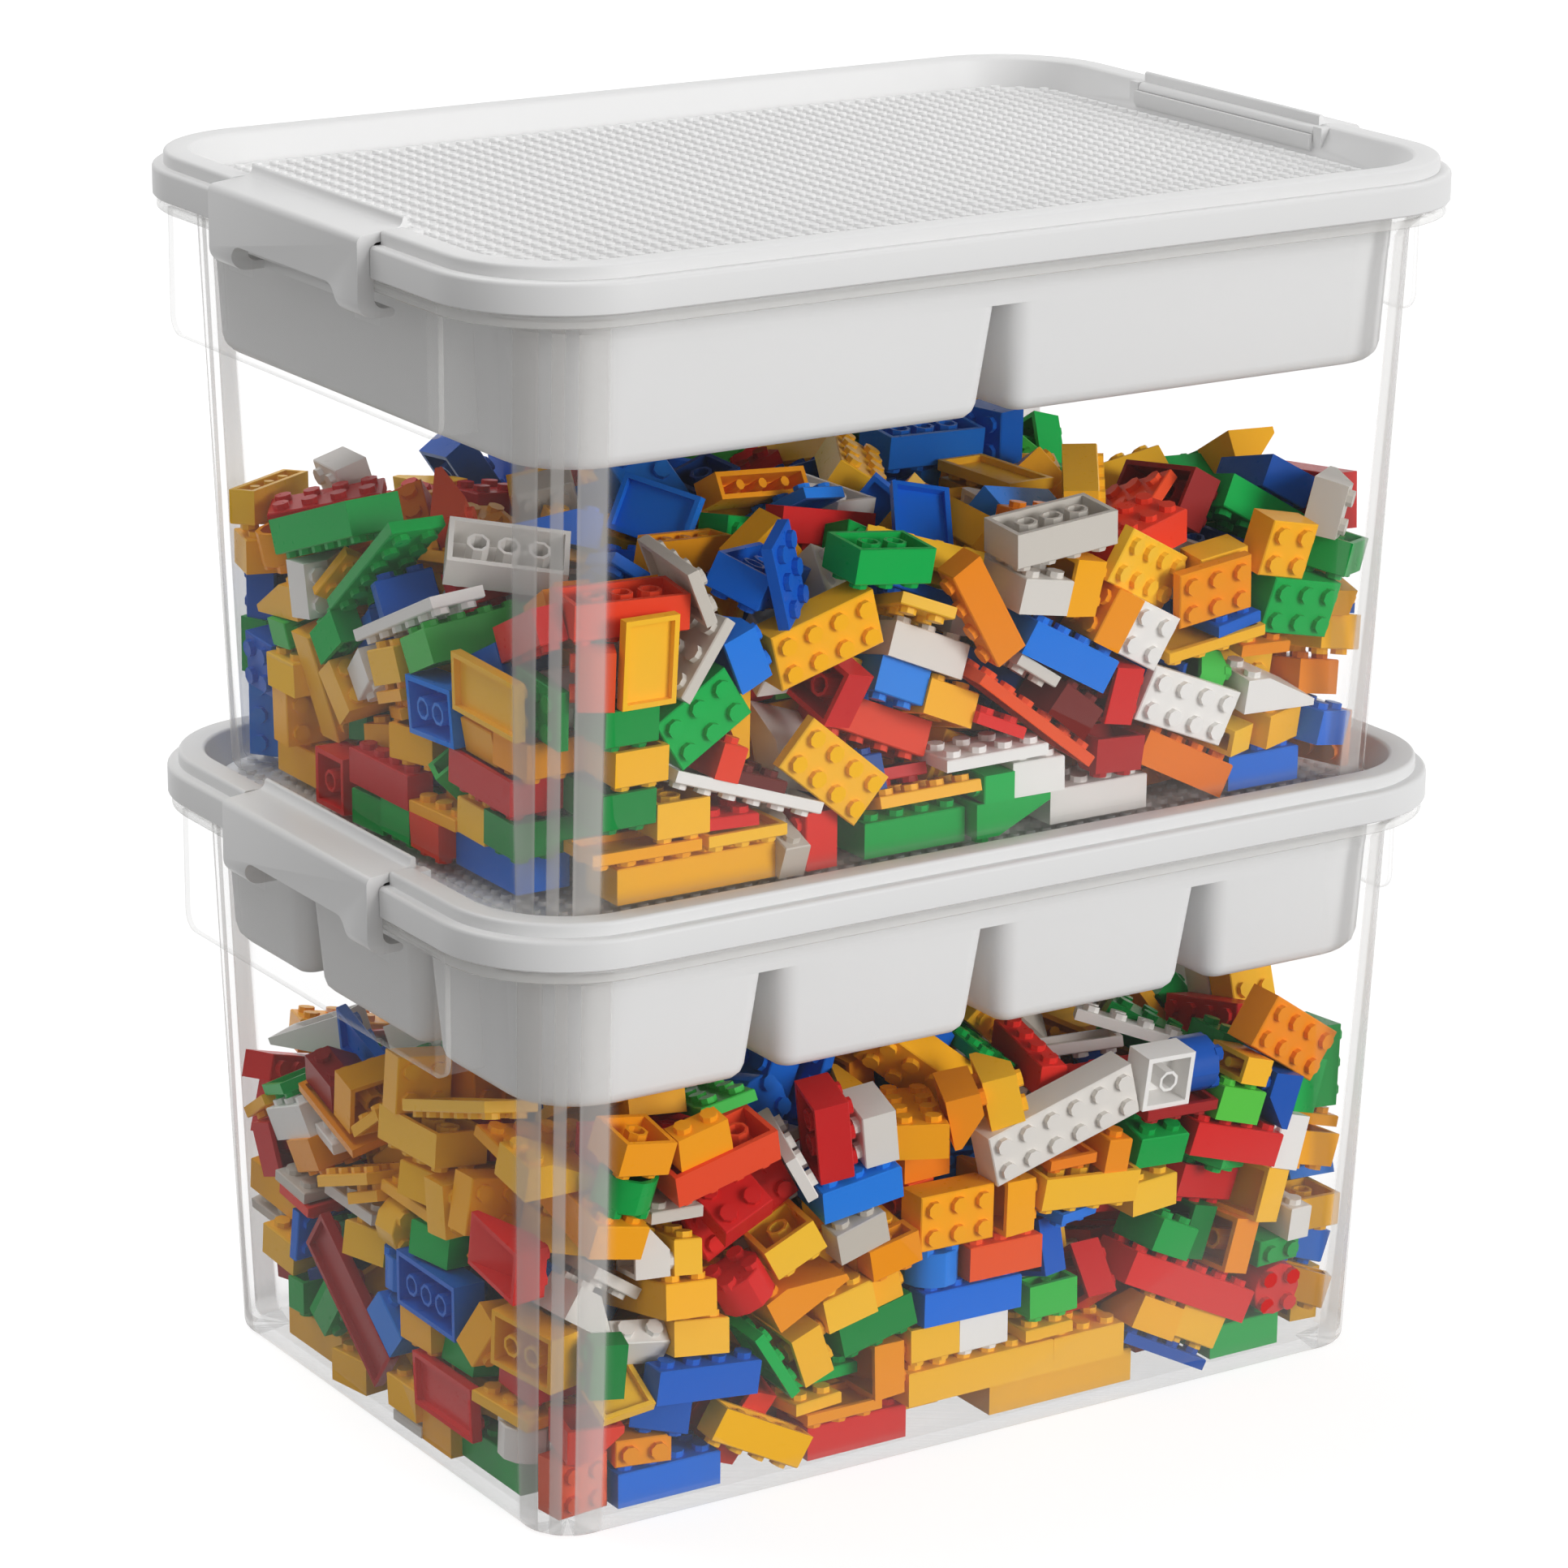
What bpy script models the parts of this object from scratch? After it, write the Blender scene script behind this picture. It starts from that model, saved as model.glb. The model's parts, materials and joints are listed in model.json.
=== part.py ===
# Two stacked latching storage boxes full of studded building bricks.
# Each box is a clear tub, a lift-out tray, a white lid with a studded panel and two swinging latches.
# +X runs along the long side, the long front side faces -Y, and +Z is up.
# Insets are measured inwards from the lid's outer edge, and heights marked _z from the lid's lower edge.

import math

import bmesh
import bpy
from mathutils import Euler, Matrix, Vector

mm = 0.001

# Driving sizes
lid_length = 400 * mm
lid_width = 284 * mm
lid_corner = 48 * mm
tub_height = 210.5 * mm
clearance = 0.3 * mm
overrun = 2 * mm
corner_steps = 5
edge_steps = 2
round_steps = 16

# Lid
ledge_z = 10.9 * mm
lid_top_z = 15.6 * mm
recess_floor_z = 3.6 * mm
ledge_inset = 4.0 * mm
rim_inner_inset = 13.8 * mm
recess_inset = 18.5 * mm
lid_wall = 2.2 * mm
lid_plate = 2.5 * mm
lid_round = 1.2 * mm
recess_wall = 1.4 * mm

# Studded panel in the lid's recess
panel_plate = 1.3 * mm
panel_stud_height = 1.5 * mm
panel_stud_radius = 10 * mm
panel_studs_long = 7
panel_studs_wide = 5
panel_stud_steps = 6
panel_corner_gap = 0.41 * mm

# Tub
tub_top_inset_x = 7.5 * mm
tub_top_inset_y = 4.7 * mm
tub_taper_x = 19.7 * mm
tub_taper_y = 18.3 * mm
tub_corner_less = 6 * mm
tub_bottom_corner = 17 * mm
tub_wall = 2.2 * mm
tub_floor = 3 * mm
post_thickening = 6 * mm
foot_round = 3 * mm
floor_round = 6 * mm
rim_below_lid_top = 10.6 * mm
flange_inset = 1.3 * mm
flange_drop = 4.4 * mm
flange_plate = 2 * mm

# Handle skirt hung from the flange at each short end
handle_end_inset = 46 * mm
handle_depth = 46 * mm
handle_wall = 1.8 * mm

# Tray
tray_top_inset_x = 12.5 * mm
tray_top_inset_y = 9.5 * mm
tray_shoulder_inset = 4 * mm
tray_shoulder_z = -8 * mm
tray_bottom_inset = 11 * mm
tray_bottom_z = -56 * mm
tray_corner_less = 8 * mm
tray_bottom_corner_less = 20 * mm
tray_wall = 1.8 * mm
tray_flange = 1.8 * mm
tray_flange_overlap = 0.5 * mm
divider_z = -14.5 * mm
cup_gap_top = 4.2 * mm
cup_gap_bottom = 6.8 * mm
cup_corner = 13 * mm
cup_round = 6 * mm
cup_corner_steps = 3
cup_step = 0.15 * mm

# Latch
latch_half_width = 53 * mm
latch_reach_out = 4.6 * mm
latch_inner_inset = 0.5 * mm
latch_plate = 2.7 * mm
latch_slope = 1.2 * mm
latch_round = 2.6 * mm
latch_middle_z = -4 * mm
hook_width = 16 * mm
hook_inset = 5.2 * mm
hook_swing_room = 5.9 * mm
hook_thickness = 2.9 * mm
hook_fillet = 3.2 * mm
bar_height = 3.6 * mm
bar_thickness = 1.9 * mm
bar_fillet = 2.8 * mm
barrel_radius = 2.6 * mm
barrel_beyond_rim = 0.7 * mm
pin_radius = 1.6 * mm
pin_length = 3.4 * mm
pin_slack = 0.3 * mm
lug_width = 5 * mm
lug_floor_gap = 0.5 * mm
saddle_plate = 2.2 * mm

# Building bricks
brick_pitch = 10.4 * mm
brick_height = 12.5 * mm
brick_stud_radius = 3.1 * mm
brick_stud_height = 2.1 * mm
brick_gap = 0.4 * mm
brick_stud_steps = 6
brick_studs_across = 2
row_gap = 6 * mm
heap_step_gap = 1 * mm
heap_wall_gap = 1.2 * mm
lower_heap_under_tray = 16.5 * mm
upper_heap_under_tray = 50 * mm
heap_bump = 6 * mm
heap_bricks_out = 9
heap_bricks_rise = 8.3 * mm
heap_brick_tip = math.radians(24)
heap_ring_shares = (0.85, 0.55, 0.2)
heap_waves_long = 5
heap_waves_wide = 4
heap_wave_share = 1 / 3

# Places that follow from the sizes above
half_length = lid_length / 2
half_width = lid_width / 2
tub_top_corner = lid_corner - tub_corner_less
tray_corner = lid_corner - tray_corner_less
tray_bottom_corner = lid_corner - tray_bottom_corner_less
rim_z = lid_top_z - rim_below_lid_top
pivot_inset = rim_inner_inset + barrel_beyond_rim
pivot_z = lid_top_z - barrel_radius
lug_floor_z = pivot_z - barrel_radius - lug_floor_gap
ceiling_z = ledge_z - lid_wall
handle_half_width = half_width - handle_end_inset
hook_tip_z = -flange_drop - hook_swing_room
hook_bottom_z = hook_tip_z - hook_thickness
panel_bottom_z = recess_floor_z + clearance
panel_top_z = panel_bottom_z + panel_plate
box_pitch = tub_height + panel_top_z + panel_stud_height + clearance

clear_plastic = (0.93, 0.95, 0.96)
white_plastic = (0.86, 0.86, 0.85)
brick_colours = {
    "yellow": (0.95, 0.55, 0.05),
    "red": (0.62, 0.03, 0.03),
    "blue": (0.01, 0.13, 0.55),
    "green": (0.0, 0.32, 0.08),
    "white": (0.85, 0.85, 0.85),
}
lower_front_row = ((4, "blue"), (4, "red"), (6, "yellow"), (3, "green"))
lower_left_row = ((4, "green"), (4, "yellow"))
upper_front_row = ((6, "yellow"), (4, "green"), (4, "white"), (3, "blue"))
upper_left_row = ((4, "blue"), (4, "yellow"))
golden_angle = math.pi * (3 - math.sqrt(5))

world_origin = {}


# Outlines
def ring(half_x, half_y, corner, z, centre=(0, 0), corners=None, steps=corner_steps):
    """One closed outline with four rounded corners, counter-clockwise from the +X side."""
    radii = corners or (corner, corner, corner, corner)
    signs = ((1, 1), (-1, 1), (-1, -1), (1, -1))
    points = []
    for quarter, ((sign_x, sign_y), radius) in enumerate(zip(signs, radii)):
        for step in range(steps + 1):
            angle = math.pi / 2 * (quarter + step / steps)
            x = centre[0] + sign_x * (half_x - radius) + radius * math.cos(angle)
            y = centre[1] + sign_y * (half_y - radius) + radius * math.sin(angle)
            points.append((x, y, z))
    return points


def arc(centre, radius, start, end, steps):
    """Points round part of a circle, from one angle in degrees to another."""
    angles = [math.radians(start + (end - start) * step / steps) for step in range(steps + 1)]
    return [(centre[0] + radius * math.cos(a), centre[1] + radius * math.sin(a)) for a in angles]


def rounded_edge(radius, steps=edge_steps):
    """How far a rounded edge lies inwards and upwards, from its flat face to its upright one."""
    angles = [math.pi / 2 * step / steps for step in range(steps + 1)]
    return [(radius * (1 - math.sin(a)), radius * (1 - math.cos(a))) for a in angles]


def block(x_range, y_range, z_range):
    """The two outlines of a plain box."""
    (x0, x1), (y0, y1) = x_range, y_range
    return [[(x0, y0, z), (x1, y0, z), (x1, y1, z), (x0, y1, z)] for z in z_range]


def extruded(profile, y_range):
    """The two outlines of a profile in X and Z, pulled along Y."""
    return [[(x, y, z) for x, z in profile] for y in y_range]


def stud(x, y, z_range, radius, steps):
    angles = [2 * math.pi * (step + 0.5) / steps for step in range(steps)]
    plan = [(x + radius * math.cos(angle), y + radius * math.sin(angle)) for angle in angles]
    return [[(px, py, z) for px, py in plan] for z in z_range]


# Solids
def lofts(name, many):
    """One object whose closed shapes each join a list of outlines and cap the first and the last."""
    editor = bmesh.new()
    for rings in many:
        rows = [[editor.verts.new(point) for point in points] for points in rings]
        for lower, upper in zip(rows, rows[1:]):
            for index in range(len(lower)):
                after = (index + 1) % len(lower)
                editor.faces.new((lower[index], lower[after], upper[after], upper[index]))
        editor.faces.new(list(reversed(rows[0])))
        editor.faces.new(rows[-1])
    bmesh.ops.recalc_face_normals(editor, faces=editor.faces)
    mesh = bpy.data.meshes.new(name)
    editor.to_mesh(mesh)
    editor.free()
    mesh.shade_smooth()
    mesh.set_sharp_from_angle(angle=math.radians(35))
    made = bpy.data.objects.new(name, mesh)
    bpy.context.scene.collection.objects.link(made)
    return made


def loft(name, rings):
    return lofts(name, [rings])


def combine(target, other, operation):
    modifier = target.modifiers.new(other.name, "BOOLEAN")
    modifier.object = other
    modifier.operation = operation
    modifier.solver = "EXACT"
    other.hide_render = True
    other.display_type = "WIRE"


def cut(target, cutter):
    combine(target, cutter, "DIFFERENCE")


def join(target, other):
    combine(target, other, "UNION")


def plastic(name, colour, roughness=0.4, alpha=1.0):
    material = bpy.data.materials.new(name)
    material.use_nodes = True
    shader = material.node_tree.nodes["Principled BSDF"]
    shader.inputs["Base Color"].default_value = (*colour, 1.0)
    shader.inputs["Roughness"].default_value = roughness
    shader.inputs["Alpha"].default_value = alpha
    return material


def hang(made, parent):
    """Makes a piece follow another while it stays where it is."""
    made.parent = parent
    made.matrix_parent_inverse = Matrix.Translation(-world_origin[parent.name])


def finish(made, material, origin, parent=None):
    """Gives the piece its material and puts its origin where it is carried or turns."""
    made.data.materials.append(material)
    made.data.transform(Matrix.Translation(-Vector(origin)))
    made.location = origin
    world_origin[made.name] = Vector(origin)
    if parent:
        hang(made, parent)
    return made


# Tub
def tub_half_x(height):
    """Half the tub's outer length at a height above its own base."""
    return half_length - tub_top_inset_x - tub_taper_x * (1 - height / tub_height)


def tub_half_y(height):
    return half_width - tub_top_inset_y - tub_taper_y * (1 - height / tub_height)


def tub_ring(height, base, inset=0.0, corner_more=0.0):
    growth = (tub_top_corner - tub_bottom_corner) * height / tub_height
    corner = tub_bottom_corner + growth + corner_more
    return ring(tub_half_x(height) - inset, tub_half_y(height) - inset, corner, base + height)


def lid_ring(inset, z):
    return ring(half_length - inset, half_width - inset, lid_corner - inset, z)


def make_handle(tub, side, top):
    """The skirt that hangs from the flange at one end, with a slot for each hook of the latch."""
    sign = -1 if side == "left" else 1
    outer = sign * (half_length - flange_inset)
    inner = outer - sign * handle_wall
    wall_upper = sign * (half_length - tub_top_inset_x - tub_wall / 2)
    wall_lower = wall_upper - sign * tub_taper_x * handle_depth / tub_height
    hang_z = top - clearance - flange_plate / 2
    low_z = top - handle_depth
    plate_x = sorted((outer, inner))
    plate = block(plate_x, (-handle_half_width, handle_half_width), (low_z, hang_z))
    join(tub, loft(f"{tub.name}_handle_{side}", plate))
    web = [(outer, hang_z), (wall_upper, hang_z), (wall_lower, low_z), (outer, low_z)]
    for end in (-1, 1):
        tip = end * handle_half_width
        rib = extruded(web, sorted((tip - end * handle_wall, tip)))
        join(tub, loft(f"{tub.name}_handle_rib_{side}_{end}", rib))
    slots = []
    slot_x = sorted((outer + sign * overrun, inner - sign * overrun / 2))
    slot_z = (top + hook_bottom_z - hook_thickness, top - flange_drop)
    for end in (-1, 1):
        far = end * (latch_half_width + 2 * clearance)
        near = end * (latch_half_width - hook_width - 2 * clearance)
        slots.append(block(slot_x, sorted((near, far)), slot_z))
    cut(tub, lofts(f"{tub.name}_hook_slots_{side}", slots))


def make_tub(prefix, base, material):
    """The clear tub, drawn as one skin: up the outside, round the flange and rim, and down inside."""
    top = base + tub_height
    under_flange = tub_height - clearance - flange_plate
    over_flange = tub_height - clearance
    wall_top = tub_height + rim_z
    lip_inset = flange_inset + handle_wall
    lip_low = top - flange_drop
    rings = [
        tub_ring(up, base, inwards, -inwards / 2) for inwards, up in rounded_edge(foot_round)
    ] + [
        tub_ring(under_flange, base),
        lid_ring(lip_inset, base + under_flange),
        lid_ring(lip_inset, lip_low),
        lid_ring(flange_inset, lip_low),
        lid_ring(flange_inset, base + over_flange),
        tub_ring(over_flange, base),
        tub_ring(wall_top, base),
        tub_ring(wall_top, base, tub_wall, post_thickening),
    ] + [
        tub_ring(tub_floor + up, base, tub_wall + inwards, post_thickening)
        for inwards, up in reversed(rounded_edge(floor_round))
    ]
    tub = loft(prefix + "_tub", rings)
    for side in ("left", "right"):
        make_handle(tub, side, top)
    return finish(tub, material, (0, 0, base))


# Tray
def tray_half_x(z):
    top_x = half_length - tray_top_inset_x
    if z >= tray_shoulder_z:
        share = (rim_z - z) / (rim_z - tray_shoulder_z)
        return top_x - tray_shoulder_inset * max(share, 0)
    share = (tray_shoulder_z - z) / (tray_shoulder_z - tray_bottom_z)
    return top_x - tray_shoulder_inset - (tray_bottom_inset - tray_shoulder_inset) * share


def tray_half_y(z):
    return tray_half_x(z) - half_length + tray_top_inset_x + half_width - tray_top_inset_y


def tray_radius(z):
    share = (rim_z - z) / (rim_z - tray_bottom_z)
    return tray_corner + (tray_bottom_corner - tray_corner) * min(max(share, 0), 1)


def tray_ring(z, top, inset=0.0):
    return ring(tray_half_x(z) - inset, tray_half_y(z) - inset, tray_radius(z) - inset, top + z)


def cup_span(index, count, tray_half, shoulder_half, gap):
    """Where one cup of a row starts and ends: at the tray's wall, or half a gap from its neighbour."""
    cell = 2 * shoulder_half / count
    start = -tray_half if index == 0 else -shoulder_half + index * cell + gap
    end = tray_half if index == count - 1 else -shoulder_half + (index + 1) * cell - gap
    return start, end


def cup_rings(top, column, columns, row, rows, heights, inset):
    """The outlines of one cup, with big corners where it is a corner of the whole tray."""
    rings = []
    for z, round_in in heights:
        share = (divider_z - z) / (divider_z - tray_bottom_z)
        gap = cup_gap_top + (cup_gap_bottom - cup_gap_top) * max(share, 0)
        drawn_in = inset + round_in
        edge_x = tray_half_x(z) - cup_step
        edge_y = tray_half_y(z) - cup_step
        left, right = cup_span(column, columns, edge_x, tray_half_x(tray_shoulder_z), gap)
        front, back = cup_span(row, rows, edge_y, tray_half_y(tray_shoulder_z), gap)
        quarters = ((columns - 1, rows - 1), (0, rows - 1), (0, 0), (columns - 1, 0))
        radii = [
            (tray_radius(z) - cup_step if (column, row) == quarter else cup_corner) - drawn_in
            for quarter in quarters
        ]
        half_x = (right - left) / 2 - drawn_in
        half_y = (back - front) / 2 - drawn_in
        centre = ((left + right) / 2, (front + back) / 2)
        rings.append(ring(half_x, half_y, 0, top + z, centre, radii, cup_corner_steps))
    return rings


def tray_slice(top, column, columns):
    """The room of one slim tray among its neighbours, from the front wall to the back wall."""
    cell = 2 * tray_half_x(tray_shoulder_z) / columns
    left, right = [(column + side - columns / 2) * cell for side in (0, 1)]
    start = -half_length if column == 0 else left + clearance / 2
    end = half_length if column == columns - 1 else right - clearance / 2
    z_range = (top + tray_bottom_z - overrun, top + lid_top_z)
    return block((start, end), (-half_width, half_width), z_range)


def make_tray(prefix, base, columns, rows, slim, material, parent):
    """The sorting tray, in one piece or as slim trays side by side with one row of cups each."""
    if not slim:
        shape_tray(prefix + "_tray", base, columns, rows, range(columns), material, parent)
        return
    for column in range(columns):
        name = f"{prefix}_tray_{column + 1}"
        tray = shape_tray(name, base, columns, rows, [column], material, parent)
        room = loft(name + "_room", tray_slice(base + tub_height, column, columns))
        combine(tray, room, "INTERSECT")


def shape_tray(name, base, columns, rows, own_columns, material, parent):
    """A shallow shell that hangs on the tub's rim, with its own cups joined below and hollowed."""
    top = base + tub_height
    flange_z = rim_z + clearance
    flange_x = half_length - tub_top_inset_x - tray_flange_overlap
    flange_y = half_width - tub_top_inset_y - tray_flange_overlap
    flange_corner = tub_top_corner - tray_flange_overlap
    web_z = divider_z - tray_wall
    rings = [
        tray_ring(web_z, top),
        tray_ring(tray_shoulder_z, top),
        tray_ring(flange_z, top),
        ring(flange_x, flange_y, flange_corner, top + flange_z),
        ring(flange_x, flange_y, flange_corner, top + flange_z + tray_flange),
        tray_ring(flange_z, top + tray_flange, tray_wall),
        tray_ring(tray_shoulder_z, top, tray_wall),
        tray_ring(divider_z, top, tray_wall),
    ]
    tray = loft(name, rings)
    outside = [(tray_bottom_z + up, inwards) for inwards, up in rounded_edge(cup_round, 1)]
    outside.append(((web_z + divider_z) / 2, 0))
    hollow = [
        (tray_bottom_z + tray_wall + up, inwards)
        for inwards, up in rounded_edge(cup_round - tray_wall, 1)
    ]
    hollow.append((divider_z + overrun, 0))
    cells = [(column, row) for column in own_columns for row in range(rows)]
    outer_cups = [cup_rings(top, c, columns, r, rows, outside, 0) for c, r in cells]
    inner_cups = [cup_rings(top, c, columns, r, rows, hollow, tray_wall) for c, r in cells]
    join(tray, lofts(name + "_cups", outer_cups))
    cut(tray, lofts(name + "_cup_hollows", inner_cups))
    return finish(tray, material, (0, 0, top), parent)


# Lid
def lid_edge(inset, z):
    """A rounded outer top edge of the lid, from its wall to its flat."""
    return [lid_ring(inset + inwards, z - up) for inwards, up in reversed(rounded_edge(lid_round))]


def make_hinge_seat(lid, side, top):
    """The notch for the latch at one end, with a saddle under it and a lug for each pin."""
    sign = -1 if side == "left" else 1
    hinge_end = latch_half_width + clearance
    lug_end = hinge_end + lug_width
    wide, narrow = (-lug_end, lug_end), (-hinge_end, hinge_end)
    clear_inset = latch_inner_inset + clearance
    floor, above = top + lug_floor_z, top + lid_top_z + overrun

    def span(first, second):
        return sorted((sign * (half_length - first), sign * (half_length - second)))

    saddle = block(span(lid_wall / 2, recess_inset - lid_wall), wide, (floor - saddle_plate, floor))
    liner_top = floor - saddle_plate / 2
    liner = block(span(clear_inset, lid_wall + handle_wall / 2), wide, (top, liner_top))
    notch = block(span(-overrun, recess_inset + overrun), narrow, (floor, above))
    setback = block(span(-overrun, clear_inset), narrow, (top - overrun, floor + overrun))
    lug_x = span(pivot_inset - barrel_radius, pivot_inset + barrel_radius)
    lug_z = (floor - saddle_plate, top + lid_top_z - clearance)
    lugs = [block(lug_x, sorted((end * hinge_end, end * lug_end)), lug_z) for end in (-1, 1)]
    pivot = (sign * (half_length - pivot_inset), top + pivot_z)
    hole_end = hinge_end + pin_length + pin_slack
    hole = arc(pivot, pin_radius + pin_slack, 0, 360 - 360 / round_steps, round_steps - 1)
    holes = extruded(hole, (-hole_end, hole_end))
    join(lid, loft(f"{lid.name}_saddle_{side}", saddle))
    join(lid, loft(f"{lid.name}_liner_{side}", liner))
    cut(lid, loft(f"{lid.name}_notch_{side}", notch))
    cut(lid, loft(f"{lid.name}_setback_{side}", setback))
    join(lid, lofts(f"{lid.name}_lugs_{side}", lugs))
    cut(lid, loft(f"{lid.name}_pin_holes_{side}", holes))


def make_lid(prefix, base, material, parent):
    """The lid's skin: inside from the recess out to the skirt, then up the skirt and into the recess."""
    top = base + tub_height
    underside = top + lid_top_z - lid_plate
    recess_under = top + recess_floor_z - lid_wall + clearance / 2
    rings = [
        lid_ring(recess_inset - recess_wall / 2, recess_under),
        lid_ring(rim_inner_inset - recess_wall, underside),
        lid_ring(ledge_inset + lid_wall, underside),
        lid_ring(ledge_inset + lid_wall, top + ceiling_z),
        lid_ring(lid_wall, top + ceiling_z),
        lid_ring(lid_wall, top),
        lid_ring(0, top),
    ]
    rings += lid_edge(0, top + ledge_z)
    rings.append(lid_ring(ledge_inset, top + ledge_z))
    rings += lid_edge(ledge_inset, top + lid_top_z)
    rings += [
        lid_ring(rim_inner_inset - lid_round, top + lid_top_z),
        lid_ring(rim_inner_inset, top + lid_top_z - lid_round),
        lid_ring(recess_inset, top + panel_top_z),
        lid_ring(recess_inset + clearance, top + recess_floor_z),
    ]
    lid = loft(prefix + "_lid", rings)
    for side in ("left", "right"):
        make_hinge_seat(lid, side, top)
    return finish(lid, material, (0, 0, top), parent)


# Studded panel
def make_panel(prefix, base, material, parent):
    bottom = base + tub_height + panel_bottom_z
    plate_top = bottom + panel_plate
    edge_inset = recess_inset + 2 * clearance
    panel = loft(prefix + "_stud_panel", [lid_ring(edge_inset, z) for z in (bottom, plate_top)])
    corner_room = lid_corner - recess_inset - panel_stud_radius - panel_corner_gap
    reach_x = half_length - lid_corner + corner_room / math.sqrt(2)
    reach_y = half_width - lid_corner + corner_room / math.sqrt(2)
    stud_z = (bottom + panel_plate / 2, plate_top + panel_stud_height)
    studs = []
    for column in range(panel_studs_long):
        for row in range(panel_studs_wide):
            x = reach_x * (2 * column / (panel_studs_long - 1) - 1)
            y = reach_y * (2 * row / (panel_studs_wide - 1) - 1)
            studs.append(stud(x, y, stud_z, panel_stud_radius, panel_stud_steps))
    join(panel, lofts(prefix + "_panel_studs", studs))
    return finish(panel, material, (0, 0, bottom), parent)


# Latch
def latch_profile():
    """The latch's cross-section in insets and heights, from the bar's crest round the barrel."""
    bar_inner = pivot_inset - clearance
    bar_outer = bar_inner - bar_thickness
    crest = lid_top_z + bar_height
    under = lid_top_z - latch_plate
    slope_under = under - latch_slope
    edge_z = lid_top_z - latch_slope - latch_round
    small = latch_round / 7
    bar = [
        (bar_outer, crest - clearance),
        (bar_outer + clearance, crest),
        (bar_inner - clearance, crest),
        (bar_inner, crest - clearance),
        (bar_inner, lid_top_z - clearance),
    ]
    barrel = arc((pivot_inset, pivot_z), barrel_radius, 60, -150, 7)
    inside = [
        (pivot_inset - barrel_radius, under - clearance),
        (latch_inner_inset + latch_round / 2, slope_under),
        (latch_inner_inset + small, slope_under - small),
        (latch_inner_inset, slope_under - latch_round / 2),
        (latch_inner_inset, latch_middle_z),
        (clearance - latch_reach_out, latch_middle_z),
        (-latch_reach_out, latch_middle_z + clearance),
    ]
    outer_edge = arc((latch_round - latch_reach_out, edge_z), latch_round, 180, 90, 4)
    fillet_centre = (bar_outer - bar_fillet, lid_top_z + bar_fillet)
    return bar + barrel + inside + outer_edge + arc(fillet_centre, bar_fillet, 270, 360, 3)


def hook_profile():
    """The J at each end of the latch, which curls in under the tub's flange."""
    arm = latch_inner_inset + latch_reach_out
    arm_top = latch_middle_z + overrun
    tip = hook_thickness / 2
    outside = arc((latch_inner_inset, hook_bottom_z + arm), arm, 180, 270, 4)
    nose = arc((hook_inset - tip, hook_bottom_z + tip), tip, -90, 90, 4)
    bend = (latch_inner_inset + hook_fillet, hook_tip_z + hook_fillet)
    inside = arc(bend, hook_fillet, 270, 180, 3)
    start = (-latch_reach_out, arm_top)
    end = (latch_inner_inset, arm_top)
    return [start] + outside + nose + inside + [end]


def make_latch(prefix, side, base, material, parent):
    """A full-width plate over the lid's end, with its bar, barrel, hooks and pins in one moulding."""
    sign = -1 if side == "left" else 1
    top = base + tub_height

    def placed(profile):
        return [(sign * (half_length - inset), top + z) for inset, z in profile]

    name = f"{prefix}_latch_{side}"
    latch = loft(name, extruded(placed(latch_profile()), (-latch_half_width, latch_half_width)))
    hooks = []
    for end in (-1, 1):
        tip = end * latch_half_width
        hooks.append(extruded(placed(hook_profile()), sorted((tip - end * hook_width, tip))))
    join(latch, lofts(name + "_hooks", hooks))
    pivot = (sign * (half_length - pivot_inset), top + pivot_z)
    pin_end = latch_half_width + clearance + pin_length
    pin = arc(pivot, pin_radius, 0, 360 - 360 / round_steps, round_steps - 1)
    join(latch, loft(name + "_pins", extruded(pin, (-pin_end, pin_end))))
    return finish(latch, material, (pivot[0], 0, pivot[1]), parent)


# Bricks
def make_brick(name, studs_long, studs_wide, corner, base, material, parent):
    """A studded brick lying flat, with its corner nearest -X and -Y at the given place."""
    length = studs_long * brick_pitch - brick_gap
    width = studs_wide * brick_pitch - brick_gap
    x0, y0 = corner
    top = base + brick_height
    brick = loft(name, block((x0, x0 + length), (y0, y0 + width), (base, top)))
    stud_z = (top - brick_stud_height, top + brick_stud_height)
    studs = []
    for column in range(studs_long):
        for row in range(studs_wide):
            x = x0 + (column + 0.5) * brick_pitch - brick_gap / 2
            y = y0 + (row + 0.5) * brick_pitch - brick_gap / 2
            studs.append(stud(x, y, stud_z, brick_stud_radius, brick_stud_steps))
    join(brick, lofts(name + "_studs", studs))
    return finish(brick, material, (x0 + length / 2, y0 + width / 2, base), parent)


def make_brick_row(prefix, row, start, end, across, along_x, base, materials, parent):
    """Bricks spread evenly from start to end along one wall, each given as its studs and colour."""
    spare = end - start - sum(count for count, colour in row) * brick_pitch
    place = start
    for index, (count, colour) in enumerate(row):
        corner = (place, across) if along_x else (across, place)
        studs = (count, brick_studs_across) if along_x else (brick_studs_across, count)
        make_brick(f"{prefix}_{index + 1}", *studs, corner, base, materials[colour], parent)
        place += count * brick_pitch + spare / (len(row) - 1)


def make_floor_bricks(prefix, base, front_row, left_row, materials, parent):
    """Bricks lying on the tub's floor along the front wall and the left wall."""
    floor = tub_floor + clearance
    reach_x = tub_half_x(floor) - tub_wall - floor_round - clearance
    reach_y = tub_half_y(floor) - tub_wall - floor_round - clearance
    straight_x = reach_x - tub_bottom_corner - post_thickening
    straight_y = reach_y - tub_bottom_corner - post_thickening
    behind_front = brick_studs_across * brick_pitch + row_gap - reach_y
    rest = base + floor
    front, left = prefix + "_brick_front", prefix + "_brick_left"
    make_brick_row(front, front_row, -straight_x, straight_x, -reach_y, True, rest, materials, parent)
    make_brick_row(left, left_row, behind_front, straight_y, -reach_x, False, rest, materials, parent)


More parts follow.
